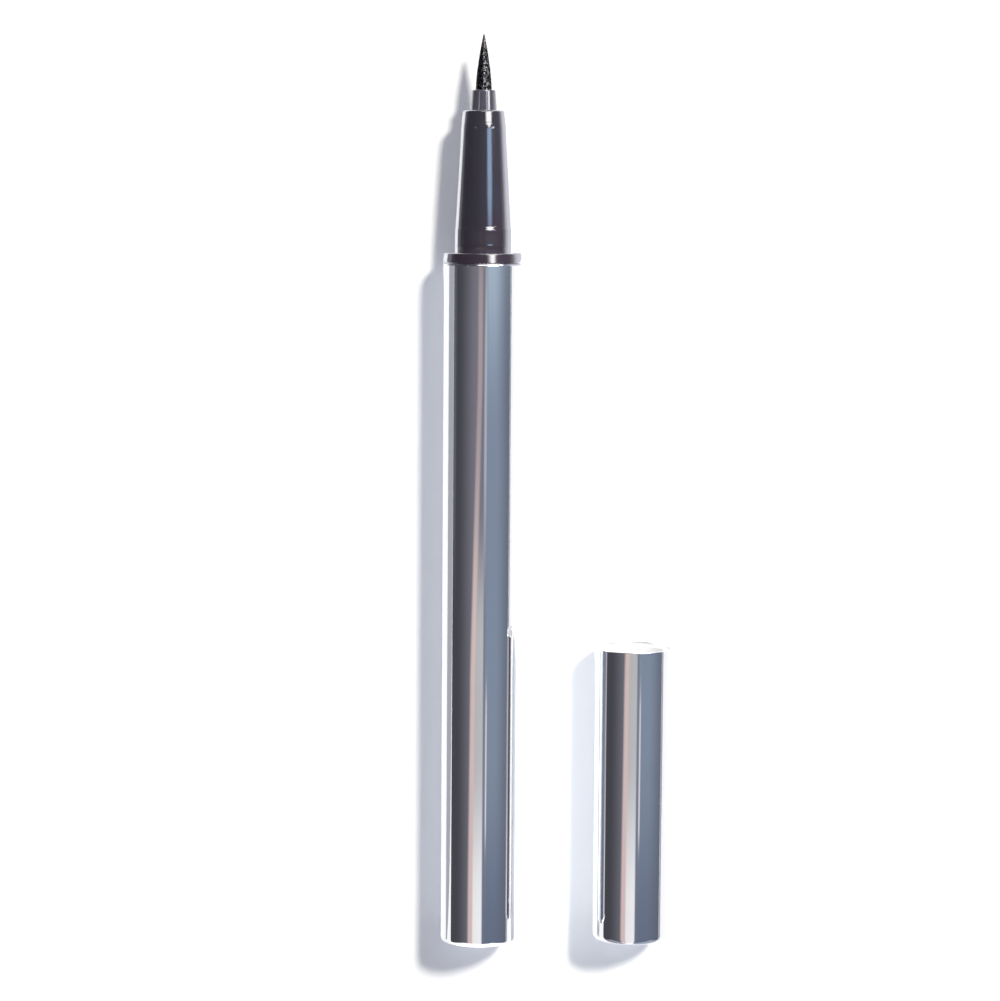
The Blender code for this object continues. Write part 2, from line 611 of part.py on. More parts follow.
def brush_tip():
    """Bristles fused to a solid root, which has a stop flange and a socket for the relay core."""
    outline = [
        (0.0, BRUSH_ROOT_FRONT),
        (BRUSH_RADIUS, BRUSH_ROOT_FRONT),
        (BRUSH_RADIUS, BRUSH_FLANGE_FRONT),
        (BRUSH_FLANGE_RADIUS, BRUSH_FLANGE_FRONT),
        (BRUSH_FLANGE_RADIUS, BRUSH_REAR),
        (RELAY_HOLE_RADIUS, BRUSH_REAR),
        (RELAY_HOLE_RADIUS, BRUSH_REAR + RELAY_SOCKET_DEPTH),
        (0.0, BRUSH_REAR + RELAY_SOCKET_DEPTH),
    ]
    brush = turned("brush_tip", outline, BRISTLE, PEN_AXIS, SMALL_STEPS, closed=False)
    combine(brush, [bpy.data.objects.new("strand_bundle", strands_mesh())], "UNION")
    return brush


def relay_core():
    """Porous rod with blunt points, from the reservoir to the brush's root."""
    outline = [
        (0.0, RELAY_FRONT),
        (RELAY_POINT_RADIUS, RELAY_FRONT),
        (RELAY_RADIUS, RELAY_FRONT - RELAY_POINT_LENGTH),
        (RELAY_RADIUS, RELAY_REAR + RELAY_POINT_LENGTH),
        (RELAY_POINT_RADIUS, RELAY_REAR),
        (0.0, RELAY_REAR),
    ]
    return turned("relay_core", outline, INK_FIBRE, PEN_AXIS, SMALL_STEPS, closed=False)


def feed_holder():
    """Bush that centres the relay core: a nipple behind the brush, a notched flange and a long tube."""
    outline = [
        (FEED_NIPPLE_RADIUS, FEED_NIPPLE_FRONT),
        (FEED_NIPPLE_RADIUS, FEED_FRONT),
        (HOLDER_FLANGE_RADIUS, FEED_FRONT),
        (HOLDER_FLANGE_RADIUS, FEED_FLANGE_REAR),
        (FEED_TUBE_RADIUS, FEED_FLANGE_REAR),
        (FEED_TUBE_RADIUS, FEED_REAR),
        (RELAY_HOLE_RADIUS, FEED_REAR),
        (RELAY_HOLE_RADIUS, FEED_NIPPLE_FRONT),
    ]
    holder = turned("feed_holder", outline, BLACK_PLASTIC, PEN_AXIS, SMALL_STEPS)
    outer = HOLDER_FLANGE_RADIUS + CUT_OVERRUN
    inner = HOLDER_FLANGE_RADIUS - FEED_NOTCH_DEPTH
    size = (outer - inner, FEED_NOTCH_WIDTH, FEED_FLANGE_LENGTH + CUT_OVERRUN * 2)
    middle = ((outer + inner) / 2, 0.0, (FEED_FRONT + FEED_FLANGE_REAR) / 2)
    notches = [
        box(f"feed_notch_{i + 1}", size, middle, spin) for i, spin in enumerate(round_spins(FEED_NOTCHES))
    ]
    combine(holder, notches, "DIFFERENCE")
    return holder


def cap_liner():
    """Liner of the cap: a socket with a snap groove, a stop ring and the inner cap's chamber."""
    bead_middle = LAND_BEAD_FROM_COLLAR + LAND_BEAD_LENGTH / 2
    groove_middle = CAP_LENGTH + SEAT_GAP - bead_middle
    groove_radius = LINER_SOCKET_RADIUS + LINER_GROOVE_DEPTH
    outline = [
        (LINER_RADIUS, LINER_MOUTH),
        (LINER_RADIUS, LINER_REAR),
        (LINER_CHAMBER_RADIUS, LINER_REAR),
        (LINER_CHAMBER_RADIUS, LINER_STOP_REAR),
        (LINER_STOP_RADIUS, LINER_STOP_REAR),
        (LINER_STOP_RADIUS, LINER_STOP_FRONT),
        (LINER_SOCKET_RADIUS, LINER_STOP_FRONT),
        (LINER_SOCKET_RADIUS, groove_middle - LAND_BEAD_LENGTH / 2),
        (groove_radius, groove_middle),
        (LINER_SOCKET_RADIUS, groove_middle + LAND_BEAD_LENGTH / 2),
        (LINER_SOCKET_RADIUS, LINER_MOUTH - LINER_MOUTH_CHAMFER),
        (LINER_SOCKET_RADIUS + LINER_MOUTH_CHAMFER, LINER_MOUTH),
    ]
    return turned("cap_liner", outline, WHITE_PLASTIC, CAP_AXIS)


def spring_seat():
    """Plug behind the liner, with a boss inside the spring."""
    outline = [
        (0.0, SEAT_BOSS_FRONT),
        (SEAT_BOSS_RADIUS, SEAT_BOSS_FRONT),
        (SEAT_BOSS_RADIUS, SEAT_PLUG_FRONT),
        (SEAT_PLUG_RADIUS, SEAT_PLUG_FRONT),
        (SEAT_PLUG_RADIUS, SEAT_FLANGE_FRONT),
        (LINER_RADIUS, SEAT_FLANGE_FRONT),
        (LINER_RADIUS, SEAT_REAR + SEAT_CHAMFER),
        (LINER_RADIUS - SEAT_CHAMFER, SEAT_REAR),
        (0.0, SEAT_REAR),
    ]
    return turned("spring_seat", outline, BLACK_PLASTIC, CAP_AXIS, closed=False)


def inner_cap():
    """Sealing cap: a wide mouth for the grip's band, a neck round the nose and a spigot for the spring."""
    outline = [
        (0.0, INNER_CAP_FLOOR),
        (INNER_CAP_NECK_BORE, INNER_CAP_FLOOR),
        (INNER_CAP_NECK_BORE, INNER_CAP_SHOULDER),
        (INNER_CAP_BORE, INNER_CAP_SHOULDER),
        (INNER_CAP_BORE, INNER_CAP_FRONT - INNER_CAP_MOUTH_CHAMFER),
        (INNER_CAP_BORE + INNER_CAP_MOUTH_CHAMFER, INNER_CAP_FRONT),
        (INNER_CAP_RADIUS, INNER_CAP_FRONT),
        (INNER_CAP_RADIUS, INNER_CAP_NECK_FRONT),
        (INNER_CAP_NECK_RADIUS, INNER_CAP_NECK_FRONT),
        (INNER_CAP_NECK_RADIUS, INNER_CAP_REAR),
        (INNER_CAP_SPIGOT_RADIUS, INNER_CAP_REAR),
        (INNER_CAP_SPIGOT_RADIUS, INNER_CAP_SPIGOT_REAR),
        (0.0, INNER_CAP_SPIGOT_REAR),
    ]
    return turned("inner_cap", outline, WHITE_PLASTIC, CAP_AXIS, closed=False)


def spring_rise(turn):
    """Share of the spring's height after a number of turns, with closed turns at both ends."""
    working = SPRING_TURNS - SPRING_DEAD_TURNS
    dead = SPRING_DEAD_TURNS / 2
    closed_share = dead * (2 * SPRING_WIRE_RADIUS + SPRING_DEAD_GAP) / (SPRING_END - SPRING_START)
    if turn < dead:
        return closed_share * turn / dead
    if turn > dead + working:
        return 1.0 - closed_share * (SPRING_TURNS - turn) / dead
    return closed_share + (1.0 - 2 * closed_share) * (turn - dead) / working


def inner_cap_spring():
    """Coil spring between the spring seat and the inner cap."""
    curve = bpy.data.curves.new("inner_cap_spring", "CURVE")
    curve.dimensions = "3D"
    curve.bevel_depth = SPRING_WIRE_RADIUS
    curve.bevel_resolution = 1
    curve.use_fill_caps = True
    count = round(SPRING_TURNS * SPRING_POINTS_A_TURN) + 1
    points = []
    for i in range(count):
        turn = SPRING_TURNS * i / (count - 1)
        angle = 2 * math.pi * turn
        station = SPRING_START + (SPRING_END - SPRING_START) * spring_rise(turn)
        across = Vector((math.cos(angle), math.sin(angle))) * SPRING_COIL_RADIUS
        points.append(Vector((across.x, across.y, station)))
    spline = curve.splines.new("POLY")
    spline.points.add(count - 1)
    for point, place in zip(spline.points, points):
        point.co = (*place, 1.0)
    report_spring_gap(points)
    mesh = welded(fixed_mesh(bpy.data.objects.new("inner_cap_spring_wire", curve)))
    return finished("inner_cap_spring", mesh, STEEL, CAP_AXIS)


def report_spring_gap(points):
    """Prints the least gap between the spring's turns, measured on its points."""
    apart = SPRING_POINTS_A_TURN // 2
    least = min(
        (points[i] - points[j]).length
        for i in range(len(points))
        for j in range(i + apart, len(points))
    )
    print(f"inner_cap_spring: least gap to itself {(least - 2 * SPRING_WIRE_RADIUS) / MM:.2f} mm")


clear_scene()
PARTS = collection("eyeliner_pen")
CUTTERS = collection("cutters")
CUTTERS.hide_render = True

METAL = material("mirror_metal", (0.82, 0.83, 0.86), 0.06, metallic=1.0)
GRIP_PLASTIC = material("aubergine_gloss_plastic", (0.035, 0.03, 0.036), 0.15)
SMOKY_PLASTIC = material("smoky_plastic", (0.13, 0.12, 0.14), 0.12, transmission=0.3)
BRISTLE = material("wet_black_bristle", (0.008, 0.008, 0.009), 0.25)
BLACK_PLASTIC = material("black_plastic", (0.02, 0.02, 0.022), 0.4)
WHITE_PLASTIC = material("natural_white_plastic", (0.8, 0.8, 0.78), 0.4)
INK_FIBRE = material("ink_soaked_fibre", (0.012, 0.011, 0.014), 0.8)
FILM = material("clear_film", (0.6, 0.62, 0.64), 0.2, transmission=0.5)
STEEL = material("spring_steel", (0.6, 0.6, 0.6), 0.25, metallic=1.0)

PEN_AXIS = lying_axis("pen_axis", PEN_X, PEN_REAR_Y)
CAP_AXIS = lying_axis("cap_axis", CAP_X, CAP_REAR_Y)

drawn_sleeve("barrel_sleeve", BARREL_LENGTH, PEN_AXIS)
inner_barrel()
tail_plug()
reservoir_core()
reservoir_wrap()
front_section()
tip_holder()
brush_tip()
relay_core()
feed_holder()

drawn_sleeve("cap_shell", CAP_LENGTH, CAP_AXIS)
cap_liner()
spring_seat()
inner_cap()
inner_cap_spring()
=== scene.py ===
"""Looks of a brush-tip liquid eyeliner pen that lies beside its cap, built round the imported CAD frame.

Outlines are in millimetres, as (radius, station) points. Stations run from the closed end of the
barrel or of the cap towards its open end, which is +Y in the row frame.
"""

import math
import random

import bmesh
import bpy
from mathutils import Matrix, Vector, noise


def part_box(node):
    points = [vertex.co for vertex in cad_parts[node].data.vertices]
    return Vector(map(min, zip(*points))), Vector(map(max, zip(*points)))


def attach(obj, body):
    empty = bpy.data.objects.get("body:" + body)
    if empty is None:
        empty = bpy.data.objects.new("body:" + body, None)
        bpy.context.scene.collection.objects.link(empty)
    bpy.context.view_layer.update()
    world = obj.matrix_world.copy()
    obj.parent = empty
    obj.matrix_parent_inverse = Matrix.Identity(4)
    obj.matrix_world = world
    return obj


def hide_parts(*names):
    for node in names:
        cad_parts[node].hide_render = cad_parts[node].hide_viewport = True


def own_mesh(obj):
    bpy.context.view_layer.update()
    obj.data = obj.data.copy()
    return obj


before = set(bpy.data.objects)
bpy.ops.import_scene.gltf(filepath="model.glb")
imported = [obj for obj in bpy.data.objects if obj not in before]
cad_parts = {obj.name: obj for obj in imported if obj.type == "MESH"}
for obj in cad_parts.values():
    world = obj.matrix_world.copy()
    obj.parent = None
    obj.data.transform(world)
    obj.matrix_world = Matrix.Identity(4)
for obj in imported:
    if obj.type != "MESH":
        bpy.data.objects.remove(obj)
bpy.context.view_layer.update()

MM = 0.001

# Sizes that the boxes of the CAD nodes give, in millimetres
BARREL_LOW, BARREL_HIGH = (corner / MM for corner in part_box("barrel_sleeve"))
GRIP_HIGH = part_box("front_section")[1] / MM
NOSE_LOW, NOSE_HIGH = (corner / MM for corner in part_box("tip_holder"))
BRUSH_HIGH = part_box("brush_tip")[1] / MM
CAP_LOW, CAP_HIGH = (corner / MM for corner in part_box("cap_shell"))
LINER_LOW, LINER_HIGH = (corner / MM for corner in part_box("cap_liner"))
CUP_LOW, CUP_HIGH = (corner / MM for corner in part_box("inner_cap"))
SPRING_LOW, SPRING_HIGH = (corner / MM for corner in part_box("inner_cap_spring"))

BODY_RADIUS = (BARREL_HIGH.x - BARREL_LOW.x) / 2
PEN_X = (BARREL_HIGH.x + BARREL_LOW.x) / 2
CAP_X = (CAP_HIGH.x + CAP_LOW.x) / 2
AXIS_Z = (BARREL_HIGH.z + BARREL_LOW.z) / 2
PEN_REAR = BARREL_LOW.y
CAP_REAR = CAP_LOW.y
BARREL_LENGTH = BARREL_HIGH.y - BARREL_LOW.y
CAP_LENGTH = CAP_HIGH.y - CAP_LOW.y

# Drawn metal sleeves. An end's round goes inwards by its first length and along by its second
SLEEVE_WALL = 0.45
SLEEVE_END_WALL = 0.5
BARREL_END_ROUND = (0.28, 0.62)
CAP_END_ROUND = (0.3, 0.78)
END_ROUND_SEGMENTS = 16
SLEEVE_INNER_ROUND = 0.3
BARREL_LIP_ROUND = 0.3
CAP_LIP_ROUND = 0.06

# Grip
SPIGOT_RADIUS = 3.85
COLLAR_START = BARREL_LENGTH + 0.04
COLLAR_FRONT = BARREL_LENGTH + 1.35
COLLAR_ROUND = 0.16
COLLAR_REAR_ROUND = 0.06
COLLAR_DRAFT = 0.13
COLLAR_DRAFT_ANGLE = 6
LAND_RADIUS = 3.86
LAND_FRONT = COLLAR_FRONT + 3.0
# Depths of the hairline groove, each at a distance behind the land's front
LAND_GROOVE = ((0.0, 0.2), (0.004, 0.25), (0.004, 0.35), (0.0, 0.4))
SHOULDER_LENGTH = 0.75
SHOULDER_HEIGHT = 0.09
SHOULDER_SEGMENTS = 8
BEAD_START = COLLAR_FRONT + 0.55
BEAD_LENGTH = 0.7
BEAD_HEIGHT = 0.019
# Shares of the bead's height, each at a share of its length
BEAD_SHARES = ((0.0, 1.0), (0.7, 0.75), (1.0, 0.5), (0.7, 0.25), (0.0, 0.0))
TAPER_FRONT_RADIUS = 2.96
TAPER_FRONT = LAND_FRONT + 14.6
TAPER_FRONT_INSET = 0.01
# Slopes of the taper's first steps behind its front
TAPER_FRONT_RISE = (0.111, 0.104, 0.096, 0.087, 0.0755, 0.0755)
TAPER_FRONT_STEP = 0.13
BAND_GROOVE_RADIUS = 2.956
BAND_GROOVE_FLOOR = 0.02
BAND_GROOVE_LENGTH = 0.03
BAND_REAR_RADIUS = 2.96
BAND_FRONT_RADIUS = 2.82
BAND_ROUND = 0.3
GRIP_FRONT = GRIP_HIGH.y - PEN_REAR
SPIGOT_LENGTH = 10.0
CHAMBER_RADIUS = 2.5
NOSE_SOCKET_RADIUS = 1.96
NOSE_SOCKET_DEPTH = 4.2

# Nose
NOSE_START = NOSE_LOW.y - PEN_REAR
NOSE_FRONT = NOSE_HIGH.y - PEN_REAR
NOSE_FLANGE_RADIUS = 2.35
NOSE_FLANGE_LENGTH = 1.2
NOSE_REAR_RADIUS = 1.81
NOSE_FRONT_RADIUS = 1.64
NOSE_ROUND = 0.14
NOSE_BORE = 1.25
NOSE_REAR_BORE = 1.65
BRUSH_SHOULDER = 112.55

# Brush
BRUSH_LENGTH = BRUSH_HIGH.y - NOSE_HIGH.y
BRUSH_RADIUS = 1.1
BRUSH_ROOT_BELOW_RIM = 0.35
BRUSH_STEM_LENGTH = 4.6
BRUSH_FLANGE_RADIUS = 1.5
BRUSH_FLANGE_LENGTH = 0.6
BRUSH_TIP_SHARE = 0.05
BRUSH_FULLNESS_POWER = 1.5
RELAY_SOCKET_RADIUS = 0.9
RELAY_SOCKET_DEPTH = 2.0
CORE_SHARE = 0.84
CORE_END = 0.93
CORE_STATIONS = (0.9, 0.75, 0.6, 0.45, 0.3, 0.15, 0.0)
CORE_STEPS = 48

# Bristles. A rise is how fast an effect grows outwards or along, up to its full size
STRANDS = 620
STRAND_SEED = 7
STRAND_SIDES = 5
STRAND_RINGS = 13
STRAND_RADIUS = 0.047
STRAND_END_SHARE = 0.45
STRAND_ROOT_DEPTH = 0.1
STRAND_SWIRL = 0.25
SHORTEST_STRAND_SHARE = 0.8
STRAND_SHORTENING_RISE = 1.5
STRAND_WAVE = 0.045
STRAND_WAVE_RISE = 3.0
STRAND_WAVE_COUNT = 5.0
STRAND_WAVE_ROWS = (0.0, 7.0)
STRAND_WAVE_PHASES = 100.0
LEAST_DIVISOR = 1e-6

# Cap
LINER_SOCKET_RADIUS = 4.05
LINER_STOP_RADIUS = 3.29
LINER_CHAMBER_RADIUS = 3.75
LINER_SOCKET_DEPTH = 15.4
LINER_STOP_LENGTH = 0.8
LINER_MOUTH_ROUND = 0.25
LINER_LIP_ROUND = 0.08
LINER_FLANGE_LENGTH = 0.5
LINER_FLANGE_GAP = 0.01
# Depths of the snap groove, each at a distance behind the mouth
LINER_GROOVE = ((0.0, 2.0), (0.06, 1.65), (0.0, 1.3))
CUP_BORE = 3.05
CUP_NECK_BORE = 2.01
CUP_WALL = 0.55
CUP_SHOULDER = 22.6
CUP_FLOOR = 11.35
CUP_FLOOR_BEVEL = 0.3
CUP_REAR = 10.55
CUP_SPIGOT_RADIUS = 1.5
CUP_SPIGOT_BEVEL = 0.2
CUP_MOUTH_ROUND = 0.15
CUP_LIP_ROUND = 0.1
SPRING_WIRE_RADIUS = 0.2
SPRING_TURNS = 6
SPRING_CLOSED_TURNS = 0.75
SPRING_CLOSED_PITCH = 0.85
SPRING_SEGMENTS_A_TURN = 32
SPRING_WIRE_RESOLUTION = 3

# Facets
FINE_STEPS = 192
PLAIN_STEPS = 96
SMALL_ARC_POINTS = 5
SHARP_ANGLE = 32
HOLD = 0.04
LEAST_HELD_LENGTH = 4 * HOLD


def arc(radius, station, size, start, end, points=9):
    """Points along an arc about (radius, station), from one angle to the other, in degrees."""
    turns = [math.radians(start + (end - start) * i / (points - 1)) for i in range(points)]
    return [(radius + size * math.cos(t), station + size * math.sin(t)) for t in turns]


def linked(name, data):
    """A new object in the scene."""
    obj = bpy.data.objects.new(name, data)
    bpy.context.scene.collection.objects.link(obj)
    return obj


def mesh_object(name, vertices, faces, material):
    """A smooth-shaded object from vertices in millimetres in the row frame."""
    mesh = bpy.data.meshes.new(name)
    mesh.from_pydata([Vector(v) * MM for v in vertices], [], faces)
    mesh.validate()
    shape = bmesh.new()
    shape.from_mesh(mesh)
    bmesh.ops.recalc_face_normals(shape, faces=shape.faces)
    shape.to_mesh(mesh)
    shape.free()
    mesh.shade_smooth()
    mesh.set_sharp_from_angle(angle=math.radians(SHARP_ANGLE))
    mesh.materials.append(material)
    return linked(name, mesh)


def held(outline, closed):
    """The outline with points close to both ends of each long line, which keep its shading flat."""
    made = []
    for a, b in zip(outline, outline[1:] + outline[:1] if closed else outline[1:]):
        made.append(a)
        length = math.dist(a, b)
        if length > LEAST_HELD_LENGTH:
            for share in (HOLD / length, 1 - HOLD / length):
                made.append((a[0] + (b[0] - a[0]) * share, a[1] + (b[1] - a[1]) * share))
    return made if closed else made + [outline[-1]]


def lathe(outline, axis_x, rear, steps, closed):
    """Vertices and faces of an outline turned about the axis of the pen or the cap."""
    outline = held(outline, closed)
    turns = [2 * math.pi * i / steps for i in range(steps)]
    vertices = []
    rings = []
    for radius, station in outline:
        if radius == 0.0:
            rings.append([len(vertices)])
            vertices.append((axis_x, rear + station, AXIS_Z))
            continue
        rings.append(list(range(len(vertices), len(vertices) + steps)))
        for turn in turns:
            x, z = axis_x + radius * math.sin(turn), AXIS_Z + radius * math.cos(turn)
            vertices.append((x, rear + station, z))
    faces = []
    pairs = list(zip(rings, rings[1:])) + ([(rings[-1], rings[0])] if closed else [])
    for a, b in pairs:
        for i in range(steps):
            j = (i + 1) % steps
            if len(a) == 1:
                faces.append((a[0], b[j], b[i]))
            elif len(b) == 1:
                faces.append((a[i], a[j], b[0]))
            else:
                faces.append((a[i], a[j], b[j], b[i]))
    return vertices, faces


def turned(name, outline, axis_x, rear, material, steps=FINE_STEPS, closed=True):
    """A piece turned from its outline."""
    vertices, faces = lathe(outline, axis_x, rear, steps, closed)
    return mesh_object(name, vertices, faces, material)


def fitted(obj, body, node):
    """Rides on a body and hides the CAD node that it replaces."""
    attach(obj, body)
    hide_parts(node)
    return obj


# Materials. Pairs of colours and of roughnesses go from the low to the high end of a pattern, and depths
# of bumps are in millimetres

METAL_COLOURS = ((0.885, 0.89, 0.905), (0.86, 0.865, 0.885))
METAL_ROUGHNESS = (0.03, 0.055)
METAL_LINES_ROUGHNESS = 0.02
METAL_WOBBLE_DEPTH = 0.006
METAL_LINES_DEPTH = 0.0002

GRIP_COLOURS = ((0.037, 0.036, 0.050), (0.041, 0.028, 0.040))
GRIP_EDGE_COLOUR = (0.8, 0.8, 0.87)
GRIP_EDGE_SHARE = 0.95
GRIP_RED_FRONT = TAPER_FRONT - 3.0
GRIP_RED_REAR = LAND_FRONT - 2.0
GRIP_ROUGHNESS = (0.05, 0.1)

SMOKY_COLOURS = ((0.055, 0.05, 0.068), (0.105, 0.1, 0.125))
SMOKY_EDGE_COLOUR = (0.8, 0.78, 0.83)
SMOKY_EDGE_SHARE = 0.8
SMOKY_ROUGHNESS = (0.1, 0.18)
PLASTIC_SKIN_DEPTH = 0.0012

BRISTLE_COLOURS = ((0.002, 0.002, 0.003), (0.012, 0.012, 0.014))
BRISTLE_TIP_COLOUR = (0.11, 0.075, 0.08)
BRISTLE_TIP_LENGTH = 2.4
BRISTLE_ROUGHNESS = (0.3, 0.5)
BRISTLE_BEAD_DEPTH = 0.05
BUNDLE_LEAN = 0.12
BRISTLE_OWN_SHARE = 0.4

BLACK_COLOURS = ((0.016, 0.016, 0.018), (0.026, 0.026, 0.028))
BLACK_ROUGHNESS = (0.32, 0.5)
WHITE_COLOURS = ((0.93, 0.93, 0.92), (0.96, 0.96, 0.955))
WHITE_ROUGHNESS = (0.3, 0.45)
FILM_COLOURS = ((0.55, 0.57, 0.6), (0.62, 0.64, 0.66))
FILM_ROUGHNESS = (0.08, 0.2)
MOULDED_DEPTH = 0.002

FIBRE_COLOURS = ((0.006, 0.006, 0.008), (0.022, 0.02, 0.026))
FIBRE_ROUGHNESS = (0.55, 0.85)
FIBRE_DEPTH = 0.03
STEEL_COLOURS = ((0.5, 0.5, 0.51), (0.68, 0.68, 0.68))
STEEL_ROUGHNESS = (0.2, 0.38)
STEEL_DEPTH = 0.002

FLOOR_COLOURS = ((0.955, 0.955, 0.955), (0.965, 0.965, 0.965))
WHITE = (1.0, 1.0, 1.0)


class Nodes:
    """Adds nodes to a tree, with short names for the ones used here."""

    def __init__(self, tree):
        self.tree = tree

    def put(self, socket, value):
        """Sets an input, or links it where the value is an output."""
        if isinstance(value, bpy.types.NodeSocket):
            self.tree.links.new(value, socket)
        else:
            socket.default_value = value

    def add(self, kind, inputs=(), **settings):
        """A new node of a kind, with its settings and inputs."""
        node = self.tree.nodes.new(kind)
        for name, value in settings.items():
            setattr(node, name, value)
        for name, value in dict(inputs).items():
            self.put(node.inputs[name], value)
        return node

    def math(self, operation, a, b=0.0, c=0.0):
        """An operation on up to three numbers."""
        return self.add("ShaderNodeMath", {0: a, 1: b, 2: c}, operation=operation).outputs[0]

    def vector(self, operation, *vectors):
        """An operation on one or two vectors."""
        inputs = dict(enumerate(vectors))
        return self.add("ShaderNodeVectorMath", inputs, operation=operation).outputs[0]

    def ramp(self, value, low, high, to_low=0.0, to_high=1.0, kind="SMOOTHSTEP"):
        """The value carried from one range to another, held at its ends."""
        node = self.add("ShaderNodeMapRange", {"Value": value}, interpolation_type=kind)
        ends = {"From Min": low, "From Max": high, "To Min": to_low, "To Max": to_high}
        for name, number in ends.items():
            self.put(node.inputs[name], number)
        return node.outputs["Result"]

    def mix(self, share, a, b):
        """Colour a turned into colour b by a share."""
        node = self.add("ShaderNodeMix", data_type="RGBA")
        self.put(node.inputs[0], share)
        for socket, colour in ((node.inputs[6], a), (node.inputs[7], b)):
            self.put(socket, colour if isinstance(colour, bpy.types.NodeSocket) else (*colour, 1.0))
        return node.outputs[2]

    def place(self):
        """Object coordinates, in metres."""
        return self.add("ShaderNodeTexCoord").outputs["Object"]

    def station(self):
        """The object coordinate along the pen, in metres."""
        return self.add("ShaderNodeSeparateXYZ", {"Vector": self.place()}).outputs["Y"]

    def pattern(self, across, along):
        """Coordinates for a pattern with so many patches a millimetre across and along the pen."""
        scale = (across / MM, along / MM, across / MM)
        return self.add("ShaderNodeMapping", {"Vector": self.place(), "Scale": scale}).outputs["Vector"]

    def noise(self, across, along, detail=3.0, rough=0.5):
        """Noise with so many patches a millimetre across and along the pen."""
        inputs = {"Vector": self.pattern(across, along), "Scale": 1.0, "Detail": detail, "Roughness": rough}
        return self.add("ShaderNodeTexNoise", inputs).outputs["Fac"]

    def bump(self, height, depth, normal=None):
        """A bump of that depth in millimetres."""
        node = self.add("ShaderNodeBump", {"Height": height, "Strength": 1.0, "Distance": depth * MM})
        if normal is not None:
            self.put(node.inputs["Normal"], normal)
        return node.outputs["Normal"]

    def edge(self, low, high, share, kind="SMOOTHSTEP"):
        """Nothing where the surface faces the eye, and a share where it turns away at its edges."""
        facing = self.add("ShaderNodeLayerWeight", {"Blend": 0.5}).outputs["Facing"]
        return self.ramp(facing, low, high, 0.0, share, kind)


def finish(name, **sockets):
    """A material with one Principled shader, the shader's inputs and its node helper."""
    made = bpy.data.materials.new(name)
    made.use_nodes = True
    shader = made.node_tree.nodes["Principled BSDF"]
    for socket, value in sockets.items():
        shader.inputs[socket.replace("_", " ")].default_value = value
    return made, shader.inputs, Nodes(made.node_tree)


def mirror_metal():
    """Polished drawn aluminium: long draw lines, a slow wobble and faint smudges."""
    made, inputs, n = finish("mirror_metal", Metallic=1.0)
    smudges = n.ramp(n.noise(across=0.22, along=0.12, detail=4.0, rough=0.6), low=0.45, high=0.75)
    lines = n.noise(across=9.0, along=0.02, detail=2.0, rough=0.6)
    n.put(inputs["Base Color"], n.mix(smudges, *METAL_COLOURS))
    smudged = n.ramp(smudges, 0.0, 1.0, *METAL_ROUGHNESS)
    lined = n.ramp(lines, low=0.3, high=0.7, to_high=METAL_LINES_ROUGHNESS)
    n.put(inputs["Roughness"], n.math("ADD", smudged, lined))
    wobble = n.bump(n.noise(across=0.12, along=0.02, detail=1.0, rough=0.4), METAL_WOBBLE_DEPTH)
    n.put(inputs["Normal"], n.bump(lines, METAL_LINES_DEPTH, wobble))
    return made


def grip_plastic():
    """Dark aubergine plastic, redder towards the collar, that turns into a mirror at its edges."""
    made, inputs, n = finish(
        "grip_gloss_plastic", IOR=1.6, Coat_Weight=0.6, Coat_Roughness=0.04, Coat_IOR=1.5,
    )
    front, rear = ((PEN_REAR + station) * MM for station in (GRIP_RED_FRONT, GRIP_RED_REAR))
    patches = n.noise(across=0.25, along=0.12, detail=2.0, rough=0.5)
    patches = n.ramp(patches, low=0.3, high=0.7, to_low=-0.5, to_high=0.5)
    cloud = n.math("ADD", patches, n.ramp(n.station(), front, rear, to_low=0.15, to_high=0.85))
    edge = n.edge(0.32, 0.62, GRIP_EDGE_SHARE)
    n.put(inputs["Base Color"], n.mix(edge, n.mix(cloud, *GRIP_COLOURS), GRIP_EDGE_COLOUR))
    n.put(inputs["Metallic"], edge)
    grain = n.noise(across=1.4, along=0.6, detail=4.0, rough=0.6)
    n.put(inputs["Roughness"], n.ramp(grain, 0.3, 0.8, *GRIP_ROUGHNESS))
    skin = n.bump(n.noise(across=1.1, along=0.35, detail=2.0, rough=0.5), PLASTIC_SKIN_DEPTH)
    n.put(inputs["Normal"], skin)
    n.put(inputs["Coat Normal"], skin)
    return made


def smoky_plastic():
    """Smoky plastic of the nose."""
    made, inputs, n = finish(
        "smoky_plastic", IOR=1.55, Coat_Weight=1.0, Coat_Roughness=0.05, Coat_IOR=1.6,
    )
    cloud = n.noise(across=0.8, along=0.5, detail=3.0, rough=0.5)
    edge = n.edge(0.35, 0.9, SMOKY_EDGE_SHARE, "LINEAR")
    n.put(inputs["Base Color"], n.mix(edge, n.mix(cloud, *SMOKY_COLOURS), SMOKY_EDGE_COLOUR))
    n.put(inputs["Metallic"], edge)
    grain = n.noise(across=3.0, along=1.0, detail=3.0, rough=0.6)
    n.put(inputs["Roughness"], n.ramp(grain, 0.3, 0.8, *SMOKY_ROUGHNESS))
    skin = n.noise(across=2.5, along=0.8, detail=2.0, rough=0.5)
    n.put(inputs["Normal"], n.bump(skin, PLASTIC_SKIN_DEPTH))
    return made


